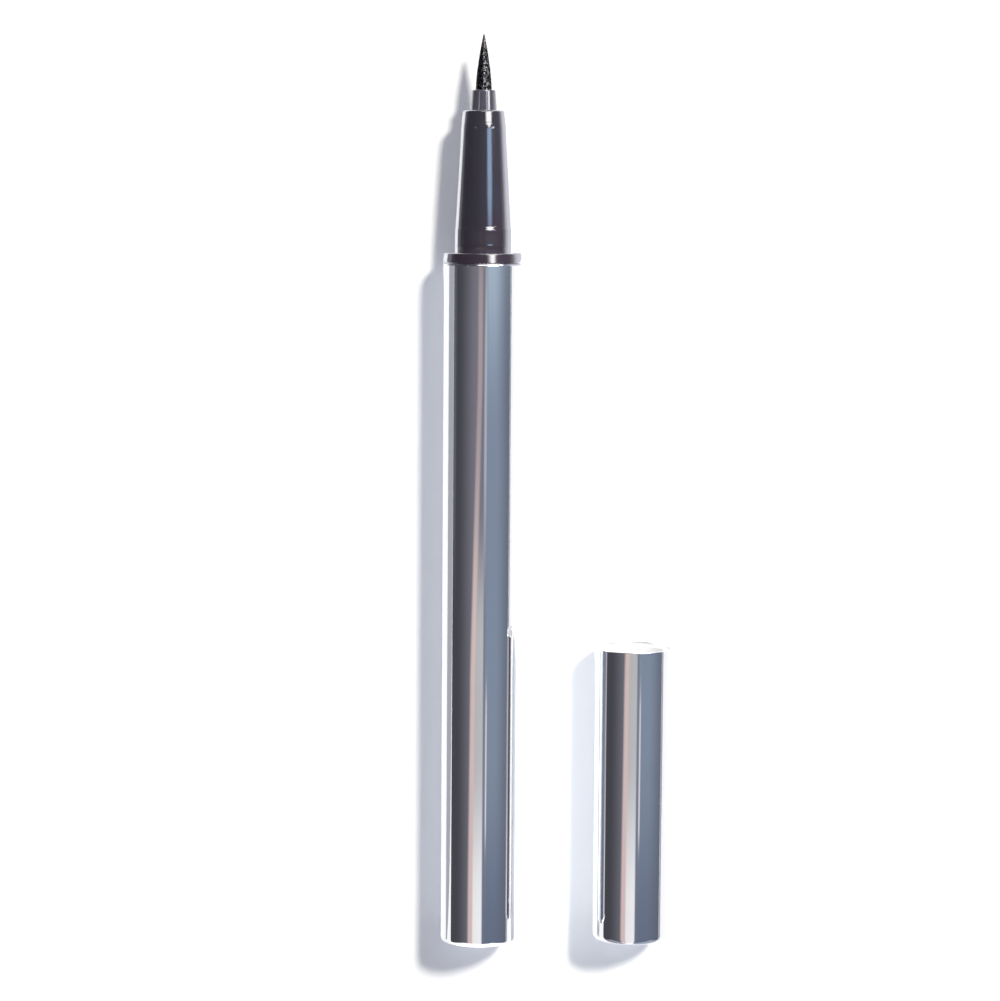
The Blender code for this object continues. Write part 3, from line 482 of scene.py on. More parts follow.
def wet_bristle():
    """Black bristles that cling together, with beads of ink that catch the light and a brown tip."""
    made, inputs, n = finish(
        "wet_bristle", Specular_IOR_Level=0.08, Coat_Roughness=0.18, Coat_IOR=2.0,
    )
    blotches = n.noise(across=4.6, along=3.2, detail=2.0, rough=0.6)
    colour = n.mix(n.ramp(blotches, low=0.4, high=0.7), *BRISTLE_COLOURS)
    tip = n.ramp(n.station(), (BRUSH_HIGH.y - BRISTLE_TIP_LENGTH) * MM, BRUSH_HIGH.y * MM)
    n.put(inputs["Base Color"], n.mix(tip, colour, BRISTLE_TIP_COLOUR))
    n.put(inputs["Roughness"], n.ramp(blotches, 0.35, 0.7, *BRISTLE_ROUGHNESS))
    cells = {"Vector": n.pattern(across=4.4, along=3.8), "Scale": 1.0}
    drops = n.add("ShaderNodeTexVoronoi", cells).outputs["Distance"]
    n.put(inputs["Coat Weight"], n.ramp(drops, low=0.34, high=0.52, to_low=1.0, to_high=0.0))
    # The bundle's own roundness counts for more than that of each bristle
    out = n.vector("SUBTRACT", n.place(), (PEN_X * MM, 0.0, AXIS_Z * MM))
    out = n.vector("NORMALIZE", n.vector("MULTIPLY", out, (1.0, 0.0, 1.0)))
    out = n.vector("ADD", out, (0.0, BUNDLE_LEAN, 0.0))
    out = n.add(
        "ShaderNodeVectorTransform", {"Vector": out},
        vector_type="NORMAL", convert_from="OBJECT", convert_to="WORLD",
    ).outputs[0]
    own = n.add("ShaderNodeNewGeometry").outputs["Normal"]
    own = n.vector("MULTIPLY", own, (BRISTLE_OWN_SHARE,) * 3)
    beads = n.bump(blotches, BRISTLE_BEAD_DEPTH, n.vector("NORMALIZE", n.vector("ADD", out, own)))
    n.put(inputs["Normal"], beads)
    n.put(inputs["Coat Normal"], beads)
    return made


def moulded(name, colours, roughness, **sockets):
    """A moulded or pressed material, with a grain in its colour, gloss and skin."""
    made, inputs, n = finish(name, **sockets)
    grain = n.noise(across=1.6, along=1.6, detail=5.0, rough=0.6)
    cloud = n.ramp(n.noise(across=0.4, along=0.3), low=0.3, high=0.7)
    n.put(inputs["Base Color"], n.mix(cloud, *colours))
    n.put(inputs["Roughness"], n.ramp(grain, 0.3, 0.7, *roughness))
    n.put(inputs["Normal"], n.bump(grain, MOULDED_DEPTH))
    return made


def fibre():
    """Bonded fibre that runs along the pen, soaked with ink."""
    made, inputs, n = finish("ink_fibre", Sheen_Weight=0.2)
    strands = n.noise(across=16.0, along=0.5, detail=4.0, rough=0.65)
    n.put(inputs["Base Color"], n.mix(n.ramp(strands, low=0.35, high=0.65), *FIBRE_COLOURS))
    n.put(inputs["Roughness"], n.ramp(strands, 0.3, 0.7, *FIBRE_ROUGHNESS))
    n.put(inputs["Normal"], n.bump(strands, FIBRE_DEPTH))
    return made


def wire():
    """Drawn spring wire."""
    made, inputs, n = finish("spring_steel", Metallic=1.0)
    lines = n.noise(across=7.0, along=7.0, detail=3.0, rough=0.6)
    n.put(inputs["Base Color"], n.mix(lines, *STEEL_COLOURS))
    n.put(inputs["Roughness"], n.ramp(lines, 0.3, 0.7, *STEEL_ROUGHNESS))
    n.put(inputs["Normal"], n.bump(lines, STEEL_DEPTH))
    return made


METAL = mirror_metal()
GRIP_PLASTIC = grip_plastic()
SMOKY_PLASTIC = smoky_plastic()
BRISTLE = wet_bristle()
BLACK_PLASTIC = moulded("black_plastic", BLACK_COLOURS, BLACK_ROUGHNESS)
WHITE_PLASTIC = moulded(
    "natural_plastic", WHITE_COLOURS, WHITE_ROUGHNESS,
    Subsurface_Weight=0.3, Subsurface_Scale=0.5 * MM,
)
FILM = moulded("clear_film", FILM_COLOURS, FILM_ROUGHNESS, Transmission_Weight=0.6)
INK_FIBRE = fibre()
STEEL = wire()


# Pieces

def sleeve(name, length, lip, end, axis_x, rear):
    """A drawn cup, with its lip rounded by that much, and the rounded edge of its closed end.

    The edge goes inwards and along by the two lengths of the end. It is an object of its own, so that a light
    can be kept to it.
    """
    bore = BODY_RADIUS - SLEEVE_WALL
    inwards, along = end
    inner = BODY_RADIUS - inwards
    cup = turned(name, [
        (0.0, SLEEVE_END_WALL),
        *arc(bore - SLEEVE_INNER_ROUND, SLEEVE_END_WALL + SLEEVE_INNER_ROUND, SLEEVE_INNER_ROUND, -90, 0),
        *arc(bore + lip, length - lip, lip, 180, 90),
        *arc(BODY_RADIUS - lip, length - lip, lip, 90, 0),
        (BODY_RADIUS, along),
        (inner, along),
        (inner, 0.0),
        (0.0, 0.0),
    ], axis_x, rear, METAL, closed=False)
    turns = [math.pi / 2 * i / END_ROUND_SEGMENTS for i in range(END_ROUND_SEGMENTS + 1)]
    outline = [(BODY_RADIUS - inwards * (1 - math.cos(t)), along * (1 - math.sin(t))) for t in turns]
    return cup, turned(name + "_end_edge", [*outline, (inner, along)], axis_x, rear, METAL)


def grip():
    """Collar, land for the cap, tapering grip and front band."""
    collar_edge = BODY_RADIUS - COLLAR_ROUND - COLLAR_DRAFT
    taper = [(TAPER_FRONT_RADIUS, TAPER_FRONT - TAPER_FRONT_INSET)]
    for rise in TAPER_FRONT_RISE:
        taper.append((taper[-1][0] + rise * TAPER_FRONT_STEP, taper[-1][1] - TAPER_FRONT_STEP))
    shoulder_front = LAND_FRONT + SHOULDER_LENGTH
    shoulder = []
    for i in range(SHOULDER_SEGMENTS + 1):
        fall = SHOULDER_HEIGHT * (1 + math.cos(math.pi * i / SHOULDER_SEGMENTS)) / 2
        shoulder.append((LAND_RADIUS - fall, shoulder_front - SHOULDER_LENGTH * i / SHOULDER_SEGMENTS))
    outline = [
        (NOSE_SOCKET_RADIUS, GRIP_FRONT),
        *arc(BAND_FRONT_RADIUS - BAND_ROUND, GRIP_FRONT - BAND_ROUND, BAND_ROUND, 90, 0),
        (BAND_REAR_RADIUS, TAPER_FRONT + BAND_GROOVE_LENGTH),
        (BAND_GROOVE_RADIUS, TAPER_FRONT + BAND_GROOVE_FLOOR),
        (BAND_GROOVE_RADIUS, TAPER_FRONT),
        *taper,
        *shoulder,
        *((LAND_RADIUS - depth, LAND_FRONT - behind) for depth, behind in LAND_GROOVE),
        *((LAND_RADIUS + BEAD_HEIGHT * up, BEAD_START + BEAD_LENGTH * on) for up, on in BEAD_SHARES),
        (LAND_RADIUS, COLLAR_FRONT),
        *arc(collar_edge, COLLAR_FRONT - COLLAR_ROUND, COLLAR_ROUND, 90, COLLAR_DRAFT_ANGLE),
        *arc(
            BODY_RADIUS - COLLAR_REAR_ROUND, COLLAR_START + COLLAR_REAR_ROUND, COLLAR_REAR_ROUND,
            COLLAR_DRAFT_ANGLE, -90, SMALL_ARC_POINTS,
        ),
        (SPIGOT_RADIUS, COLLAR_START),
        (SPIGOT_RADIUS, COLLAR_START - SPIGOT_LENGTH),
        (CHAMBER_RADIUS, COLLAR_START - SPIGOT_LENGTH),
        (CHAMBER_RADIUS, GRIP_FRONT - NOSE_SOCKET_DEPTH),
        (NOSE_SOCKET_RADIUS, GRIP_FRONT - NOSE_SOCKET_DEPTH),
    ]
    return turned("grip", outline, PEN_X, PEN_REAR, GRIP_PLASTIC)


def nose():
    """Nose that holds the brush."""
    rim = NOSE_ROUND / 2
    outline = [
        *arc(NOSE_BORE + rim, NOSE_FRONT - rim, rim, 180, 90, SMALL_ARC_POINTS),
        *arc(NOSE_FRONT_RADIUS - NOSE_ROUND, NOSE_FRONT - NOSE_ROUND, NOSE_ROUND, 90, 0),
        (NOSE_REAR_RADIUS, GRIP_FRONT),
        (NOSE_REAR_RADIUS, NOSE_START + NOSE_FLANGE_LENGTH),
        (NOSE_FLANGE_RADIUS, NOSE_START + NOSE_FLANGE_LENGTH),
        (NOSE_FLANGE_RADIUS, NOSE_START),
        (NOSE_REAR_BORE, NOSE_START),
        (NOSE_REAR_BORE, BRUSH_SHOULDER),
        (NOSE_BORE, BRUSH_SHOULDER),
    ]
    return turned("nose", outline, PEN_X, PEN_REAR, SMOKY_PLASTIC, PLAIN_STEPS)


def bundle_share(along):
    """Radius of the bristle bundle as a share of its base, at a share of its length."""
    return 1.0 - (1.0 - BRUSH_TIP_SHARE) * along ** BRUSH_FULLNESS_POWER


def strand(index, dice):
    """Centreline points of one bristle, each with the bristle's radius there.

    Each bristle starts a golden angle on from the last, and their waves shrink to nothing at both ends.
    """
    share = math.sqrt((index + 0.5) / STRANDS)
    turn = index * math.pi * (3.0 - math.sqrt(5.0))
    reach = 1.0 - (1.0 - SHORTEST_STRAND_SHARE) * dice.random() * min(1.0, share * STRAND_SHORTENING_RISE)
    swirl = STRAND_SWIRL * dice.uniform(-1.0, 1.0)
    phase = dice.uniform(0.0, STRAND_WAVE_PHASES)
    root = NOSE_FRONT - BRUSH_ROOT_BELOW_RIM - STRAND_ROOT_DEPTH
    length = BRUSH_LENGTH + BRUSH_ROOT_BELOW_RIM + STRAND_ROOT_DEPTH
    points = []
    for ring in range(STRAND_RINGS):
        along = ring / (STRAND_RINGS - 1)
        station = root + length * (reach * along)
        place = max(0.0, (station - NOSE_FRONT) / BRUSH_LENGTH)
        limit = (BRUSH_RADIUS - STRAND_RADIUS) * bundle_share(place)
        radius = (BRUSH_RADIUS - STRAND_RADIUS) * share * bundle_share(place)
        angle = turn + swirl * place
        wave = STRAND_WAVE * min(1.0, place * STRAND_WAVE_RISE) * (1.0 - place)
        sway_x, sway_z = (noise.noise((phase, place * STRAND_WAVE_COUNT, row)) for row in STRAND_WAVE_ROWS)
        x = radius * math.sin(angle) + wave * sway_x
        z = radius * math.cos(angle) + wave * sway_z
        pull = min(1.0, limit / max(math.hypot(x, z), LEAST_DIVISOR))
        thick = STRAND_RADIUS * (1.0 - (1.0 - STRAND_END_SHARE) * along ** 2)
        points.append((PEN_X + x * pull, PEN_REAR + station, AXIS_Z + z * pull, thick))
    return points


def bristles():
    """Pointed bundle of wet bristles with its solid root."""
    root_front = NOSE_FRONT - BRUSH_ROOT_BELOW_RIM
    flange_front = root_front - BRUSH_STEM_LENGTH
    rear = flange_front - BRUSH_FLANGE_LENGTH
    core = [
        (BRUSH_RADIUS * CORE_SHARE * bundle_share(share), NOSE_FRONT + BRUSH_LENGTH * share)
        for share in CORE_STATIONS
    ]
    outline = [
        (0.0, NOSE_FRONT + BRUSH_LENGTH * CORE_END),
        *core,
        (BRUSH_RADIUS * CORE_SHARE, root_front),
        (BRUSH_RADIUS, root_front),
        (BRUSH_RADIUS, flange_front),
        (BRUSH_FLANGE_RADIUS, flange_front),
        (BRUSH_FLANGE_RADIUS, rear),
        (RELAY_SOCKET_RADIUS, rear),
        (RELAY_SOCKET_RADIUS, rear + RELAY_SOCKET_DEPTH),
        (0.0, rear + RELAY_SOCKET_DEPTH),
    ]
    vertices, faces = lathe(outline, PEN_X, PEN_REAR, CORE_STEPS, False)
    turns = [2 * math.pi * side / STRAND_SIDES for side in range(STRAND_SIDES)]
    dice = random.Random(STRAND_SEED)
    for index in range(STRANDS):
        start = len(vertices)
        for x, y, z, thick in strand(index, dice):
            vertices.extend((x + thick * math.sin(turn), y, z + thick * math.cos(turn)) for turn in turns)
        last = len(vertices) - STRAND_SIDES
        for ring in range(start, last, STRAND_SIDES):
            for side in range(STRAND_SIDES):
                a, b = ring + side, ring + (side + 1) % STRAND_SIDES
                faces.append((a, b, b + STRAND_SIDES, a + STRAND_SIDES))
        for end in (start, last):
            faces.append(tuple(range(end, end + STRAND_SIDES)))
    return mesh_object("bristles", vertices, faces, BRISTLE)


def cap_lining():
    """Lining of the cap, with a soft mouth, a flange that meets the shell and a stop for the sealing cup."""
    mouth = LINER_HIGH.y - CAP_REAR
    rear = LINER_LOW.y - CAP_REAR
    outer = (LINER_HIGH.x - LINER_LOW.x) / 2
    flange = BODY_RADIUS - SLEEVE_WALL - LINER_FLANGE_GAP
    stop_front = mouth - LINER_SOCKET_DEPTH
    stop_rear = stop_front - LINER_STOP_LENGTH
    outline = [
        *arc(flange - LINER_LIP_ROUND, mouth - LINER_LIP_ROUND, LINER_LIP_ROUND, 90, 0, SMALL_ARC_POINTS),
        (flange, mouth - LINER_FLANGE_LENGTH),
        (outer, mouth - LINER_FLANGE_LENGTH),
        (outer, rear),
        (LINER_CHAMBER_RADIUS, rear),
        (LINER_CHAMBER_RADIUS, stop_rear),
        (LINER_STOP_RADIUS, stop_rear),
        (LINER_STOP_RADIUS, stop_front),
        (LINER_SOCKET_RADIUS, stop_front),
        *((LINER_SOCKET_RADIUS + depth, mouth - behind) for depth, behind in LINER_GROOVE),
        *arc(LINER_SOCKET_RADIUS + LINER_MOUTH_ROUND, mouth - LINER_MOUTH_ROUND, LINER_MOUTH_ROUND, 180, 90),
    ]
    return turned("cap_lining", outline, CAP_X, CAP_REAR, WHITE_PLASTIC)


def sealing_cup():
    """Inner cap that closes round the band and the nose."""
    front = CUP_HIGH.y - CAP_REAR
    rear = CUP_LOW.y - CAP_REAR
    lip = CUP_BORE + CUP_WALL - CUP_LIP_ROUND
    outline = [
        (0.0, CUP_FLOOR),
        (CUP_NECK_BORE - CUP_FLOOR_BEVEL, CUP_FLOOR),
        (CUP_NECK_BORE, CUP_FLOOR + CUP_FLOOR_BEVEL),
        (CUP_NECK_BORE, CUP_SHOULDER),
        (CUP_BORE, CUP_SHOULDER),
        *arc(CUP_BORE + CUP_MOUTH_ROUND, front - CUP_MOUTH_ROUND, CUP_MOUTH_ROUND, 180, 90, SMALL_ARC_POINTS),
        *arc(lip, front - CUP_LIP_ROUND, CUP_LIP_ROUND, 90, 0, SMALL_ARC_POINTS),
        (CUP_BORE + CUP_WALL, CUP_SHOULDER - CUP_WALL),
        (CUP_NECK_BORE + CUP_WALL, CUP_SHOULDER - CUP_WALL),
        (CUP_NECK_BORE + CUP_WALL, CUP_REAR),
        (CUP_SPIGOT_RADIUS, CUP_REAR),
        (CUP_SPIGOT_RADIUS, rear + CUP_SPIGOT_BEVEL),
        (CUP_SPIGOT_RADIUS - CUP_SPIGOT_BEVEL, rear),
        (0.0, rear),
    ]
    return turned("sealing_cup", outline, CAP_X, CAP_REAR, WHITE_PLASTIC, PLAIN_STEPS, closed=False)


def spring_rise(turn, height):
    """How far along the spring its wire is after a number of turns, with closed coils at each end."""
    closed = SPRING_CLOSED_TURNS * SPRING_CLOSED_PITCH
    working = SPRING_TURNS - 2 * SPRING_CLOSED_TURNS
    if turn < SPRING_CLOSED_TURNS:
        return SPRING_CLOSED_PITCH * turn
    if turn > SPRING_TURNS - SPRING_CLOSED_TURNS:
        return height - SPRING_CLOSED_PITCH * (SPRING_TURNS - turn)
    return closed + (height - 2 * closed) * (turn - SPRING_CLOSED_TURNS) / working


def spring():
    """Coil spring behind the sealing cup."""
    radius = (SPRING_HIGH.x - SPRING_LOW.x) / 2 - SPRING_WIRE_RADIUS
    low = SPRING_LOW.y + SPRING_WIRE_RADIUS
    height = SPRING_HIGH.y - SPRING_LOW.y - 2 * SPRING_WIRE_RADIUS
    curve = bpy.data.curves.new("spring_path", "CURVE")
    curve.dimensions = "3D"
    curve.bevel_depth = SPRING_WIRE_RADIUS * MM
    curve.bevel_resolution = SPRING_WIRE_RESOLUTION
    curve.use_fill_caps = True
    line = curve.splines.new("POLY")
    segments = SPRING_TURNS * SPRING_SEGMENTS_A_TURN
    line.points.add(segments)
    for i, point in enumerate(line.points):
        turn = SPRING_TURNS * i / segments
        angle = 2 * math.pi * turn
        x, z = CAP_X + radius * math.cos(angle), AXIS_Z + radius * math.sin(angle)
        place = Vector((x, low + spring_rise(turn, height), z))
        point.co = (*(place * MM), 1.0)
    path = linked("spring_path", curve)
    bpy.context.view_layer.update()
    mesh = bpy.data.meshes.new_from_object(path.evaluated_get(bpy.context.evaluated_depsgraph_get()))
    bpy.data.objects.remove(path, do_unlink=True)
    mesh.name = "spring"
    mesh.materials.clear()
    mesh.materials.append(STEEL)
    mesh.shade_smooth()
    return linked("spring", mesh)


barrel, barrel_edge = sleeve("barrel", BARREL_LENGTH, BARREL_LIP_ROUND, BARREL_END_ROUND, PEN_X, PEN_REAR)
fitted(barrel, "pen", "barrel_sleeve")
fitted(barrel_edge, "pen", "barrel_sleeve")
fitted(grip(), "pen", "front_section")
fitted(nose(), "pen", "tip_holder")
fitted(bristles(), "pen", "brush_tip")

cap, cap_edge = sleeve("cap", CAP_LENGTH, CAP_LIP_ROUND, CAP_END_ROUND, CAP_X, CAP_REAR)
fitted(cap, "cap", "cap_shell")
fitted(cap_edge, "cap", "cap_shell")
fitted(cap_lining(), "cap", "cap_liner")
fitted(sealing_cup(), "inner_cap", "inner_cap")

coil = fitted(spring(), "cap", "inner_cap_spring")
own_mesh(coil)

# Pieces inside the barrel and the cap that the frame's own meshes show
for node, material in {
    "inner_barrel": BLACK_PLASTIC,
    "tail_plug": BLACK_PLASTIC,
    "feed_holder": BLACK_PLASTIC,
    "spring_seat": BLACK_PLASTIC,
    "reservoir_core": INK_FIBRE,
    "relay_core": INK_FIBRE,
    "reservoir_wrap": FILM,
}.items():
    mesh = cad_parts[node].data
    mesh.materials.clear()
    mesh.materials.append(material)


# Studio. Its lengths are in metres where no name says otherwise

FILL = (0.268, 0.277, 0.335)
BOUNCE = (1.65, 1.82, 2.12)
KEY_DIRECTION = Vector((0.51, 0.64, 1.0)).normalized()
KEY_COLOUR = (1.0, 0.985, 0.9)
KEY_SHARE = 0.745
KEY_ANGLE = 8

FLOOR_HALF = 4.0
FLOOR_LIFT = 0.105
FLOOR_LIFT_IN_METAL = 0.1

# Grey sheets on the floor. The darker and the paler one lie over the others, beside the grip
SHEETS_OUT = 0.8
SHEETS_FAR = 0.5
SHEET_LEFT_EDGE = -0.034
SHEET_LEFT_NEAR = -0.069
SHEET_RIGHT_EDGE = 0.085
SHEET_RIGHT_NEAR = -0.5
SHEET_HEIGHT = 0.0002
SHEET_TONE = (0.42, 0.43, 0.48)
GRIP_SHEETS_NEAR = 0.0322
GRIP_SHEETS_HEIGHT = 0.0004
DARK_SHEET_EDGE = -0.025
DARK_SHEET_TONE = (0.12, 0.12, 0.15)
PALE_SHEET_EDGE = -0.0065
PALE_SHEET_TONE = (0.68, 0.69, 0.75)

GLOW_POWER = 0.004
GLOW_WIDTH = 0.004
GLOW_LENGTH = 0.095
GLOW_COLOUR = (0.93, 0.98, 1.0)
GLOW_GAP_MM = 0.3
GLOW_MIDDLE = -0.0185
GLOW_HEIGHT = 0.0065
GLOW_TILT = -60

END_LIGHT_GAP_MM = 2.5
END_LIGHT_WIDTH_MM = 18.0
END_LIGHT_LOW_MM = 9.0
BARREL_END_LIGHT_HIGH_MM = 18.0
BARREL_END_LIGHT_TONE = WHITE
CAP_END_LIGHT_HIGH_MM = 13.5
CAP_END_LIGHT_TONE = (0.19, 0.195, 0.225)
# Watts for each square metre of an area light that shows as 1.0
AREA_LIGHT_UNIT = 4

# What polished surfaces see round them. A direction is given by its turn about the pen's axis, in degrees
# from straight up towards the cap, and by its slope along the pen. Two numbers are where a change starts and
# ends, and the next two are the values before and after it. A PATCH has its low and high edge and the
# softness of each
ROOM_TONE = (0.066, 0.066, 0.080)
ROOM_SIDE_TURNS = (-76, -84)
ROOM_SIDE_SLOPES = (-0.15, -0.09)
ROOM_SIDE_TONE = (0.125, 0.125, 0.15)
ROOM_TOP_TURNS = (-72, -8)
ROOM_TOP_TONE = (0.20, 0.195, 0.235)

PANEL_TURNS = (6, 22)
PANEL_REAR_SLOPES = (-0.262, -0.188)
PANEL_REAR_TONES = ((0.143, 0.172, 0.245), (0.235, 0.285, 0.375))
PANEL_FRONT_SLOPES = (-0.085, -0.012)
PANEL_FRONT_TONE = (0.43, 0.53, 0.65)
PANEL_FADE_STARTS = (-0.1, -0.04, 42, 32)
PANEL_FADE_ENDS = (-0.1, -0.04, 95, 82)
PANEL_FADE_SHARE = 0.75
PANEL_FADE_TONE = (0.12, 0.135, 0.175)

CARD_PATCH_TURNS = (-20, 9.5, 4, 2.5)
CARD_SLOPES = (-0.105, -0.155)
CARD_HUE_TURNS = (-16, 4)
CARD_HUES = ((1.0, 0.93, 0.92), (0.97, 1.0, 1.03))
CARD_TONE_SLOPES = (-0.19, -0.25)
CARD_TONES = ((0.54, 0.54, 0.54), (0.95, 0.95, 0.95))

STRIP_MIDDLE = ((-0.065, -0.165, -4.0, -21.5, "LINEAR"), (-0.165, -0.25, 0.0, -3.5))
STRIP_HALF_WIDTH = (2.5, 10.5)
STRIP_STRENGTH = ((-0.07, -0.17, 0.42, 0.92), (-0.045, -0.02, 0.0, -0.2))
STRIP_TONE = (0.73, 0.57, 0.545)

LINE_PATCH_TURNS = (17, 21, 1.5, 1.5)
LINE_PATCH_SLOPES = (-0.222, -0.172, 0.006, 0.006)
LINE_TONE = (0.74, 0.73, 0.78)
EDGE_PATCH_TURNS = (8.5, 15.5, 2.5, 3.0)
EDGE_SLOPES = (-0.15, -0.09)
EDGE_STRENGTH = (-0.05, -0.025, 0.85, 0.3)
EDGE_TONE = (0.48, 0.52, 0.61)

PAST_END_SLOPES = (-0.028, 0.05)
PAST_END_TURNS = (-35, 12)
PAST_END_TONES = ((0.06, 0.06, 0.075), (0.19, 0.19, 0.25))
PAST_END_RIGHT_TURNS = (38, 60)
PAST_END_RIGHT_TONE = (0.26, 0.27, 0.38)

BOX_TURN = 31
BOX_HALF_WIDTH = (
    (0.081, 0.111, 3.0, 11.0), (0.135, 0.17, 0.0, -6.0), (0.19, 0.245, 0.0, 13.0), (0.27, 0.32, 0.0, -5.0),
    (0.55, 1.0, 0.0, 35.0),
)
BOX_SOFTNESS = (-6, 6)
BOX_PATCH_SLOPES = (0.078, 1.1, 0.012, 0.15)
BOX_GAP_PATCH_SLOPES = (0.144, 0.1605, 0.003, 0.002)
BOX_LOW_SLOPES = (0.09, 0.108)
BOX_LOW_TONES = ((1.9, 2.4, 4.0), (2.8, 3.9, 5.6))
BOX_HIGH_SLOPES = (0.127, 0.19)
BOX_HIGH_TONE = (12.5, 12.5, 12.5)

# Patch of turns, patch of slopes and tone of each lamp
LAMPS = (
    ((43, 58, 3, 4), (0.14, 0.157, 0.003, 0.003), (14.0, 14.0, 14.0)),
    ((-45, -35, 3, 3), (0.143, 0.1515, 0.0015, 0.0015), (4.5, 4.5, 5.0)),
)

WALL_SLOPES = ((-2.2, -6.0), (1.2, 2.5))
WALL_TURNS = (-50, 60)
WALL_TONES = ((0.36, 0.37, 0.41), (0.66, 0.67, 0.70))

LEAST_ACROSS = 0.001
HALF_A_BOUNCE = 0.5


def bare_material(name):
    """A material without nodes, and its node helper."""
    made = bpy.data.materials.new(name)
    made.use_nodes = True
    made.node_tree.nodes.clear()
    return made, Nodes(made.node_tree)


def rectangle(name, left, right, near, far, height, material):
    """A flat rectangle that lies level."""
    mesh = bpy.data.meshes.new(name)
    corners = [(left, near), (right, near), (right, far), (left, far)]
    mesh.from_pydata([(x, y, height) for x, y in corners], [], [(0, 1, 2, 3)])
    mesh.materials.append(material)
    return linked(name, mesh)


def floor():
    """White floor, much larger than the pen, that keeps the pen's shadow."""
    made, n = bare_material("floor")
    grain = n.noise(across=0.05, along=0.05, detail=2.0)
    shade = n.add("ShaderNodeBsdfDiffuse", {"Color": n.mix(grain, *FLOOR_COLOURS)})
    path = n.add("ShaderNodeLightPath")
    seen = n.math("MAXIMUM", path.outputs["Is Camera Ray"], path.outputs["Is Transmission Ray"])
    seen = n.math("MULTIPLY", seen, FLOOR_LIFT)
    seen = n.math("MULTIPLY_ADD", path.outputs["Is Glossy Ray"], FLOOR_LIFT_IN_METAL, seen)
    lift = n.add("ShaderNodeEmission", {"Color": (*WHITE, 1.0), "Strength": seen})
    both = n.add("ShaderNodeAddShader", {0: shade.outputs[0], 1: lift.outputs[0]})
    n.add("ShaderNodeOutputMaterial", {"Surface": both.outputs[0]})
    obj = rectangle("floor", -FLOOR_HALF, FLOOR_HALF, -FLOOR_HALF, FLOOR_HALF, 0.0, made)


def grey_sheet(name, left, right, near, height, tone):
    """Grey sheet lying on the floor, which only reflections show."""
    made, n = bare_material(name)
    glow = n.add("ShaderNodeEmission", {"Color": (*tone, 1.0), "Strength": 1.0})
    n.add("ShaderNodeOutputMaterial", {"Surface": glow.outputs[0]})
    obj = rectangle(name, left, right, near, SHEETS_FAR, height, made)
    obj.visible_camera = False
    obj.visible_diffuse = False
    obj.visible_shadow = False
    obj.visible_transmission = False


def area_light(name, width, length, colour):
    """A rectangular light that the camera doesn't see."""
    data = bpy.data.lights.new(name, "AREA")
    data.shape = "RECTANGLE"
    data.size = width
    data.size_y = length
    data.color = colour
    obj = linked(name, data)
    obj.visible_camera = False
    return obj


def end_light(name, edge, axis_x, rear, high, tone):
    """Small soft light behind the closed end of a sleeve, which only that end's rounded edge shows."""
    obj = area_light(name, END_LIGHT_WIDTH_MM * MM, (high - END_LIGHT_LOW_MM) * MM, tone)
    obj.data.energy = AREA_LIGHT_UNIT * obj.data.size * obj.data.size_y
    obj.location = (axis_x * MM, (rear - END_LIGHT_GAP_MM) * MM, (END_LIGHT_LOW_MM + high) / 2 * MM)
    obj.rotation_euler = (math.radians(90), 0.0, 0.0)
    obj.visible_diffuse = False
    obj.visible_transmission = False
    only = bpy.data.collections.new(name)
    only.objects.link(edge)
    obj.light_linking.receiver_collection = only


def key_light():
    """Soft key from the upper right, which throws the shadow to the lower left."""
    data = bpy.data.lights.new("key", "SUN")
    data.angle = math.radians(KEY_ANGLE)
    data.color = KEY_COLOUR
    data.energy = math.pi * KEY_SHARE / KEY_DIRECTION.z
    obj = linked("key", data)
    obj.rotation_euler = KEY_DIRECTION.to_track_quat("Z", "Y").to_euler()
    obj.visible_glossy = False


def barrel_glow():
    """Soft light that the barrel's right side throws into the cap's shadow."""
    obj = area_light("barrel_glow", GLOW_WIDTH, GLOW_LENGTH, GLOW_COLOUR)
    obj.data.energy = GLOW_POWER
    obj.location = ((PEN_X + BODY_RADIUS + GLOW_GAP_MM) * MM, GLOW_MIDDLE, GLOW_HEIGHT)
    obj.rotation_euler = (0.0, math.radians(GLOW_TILT), 0.0)
    obj.visible_glossy = False


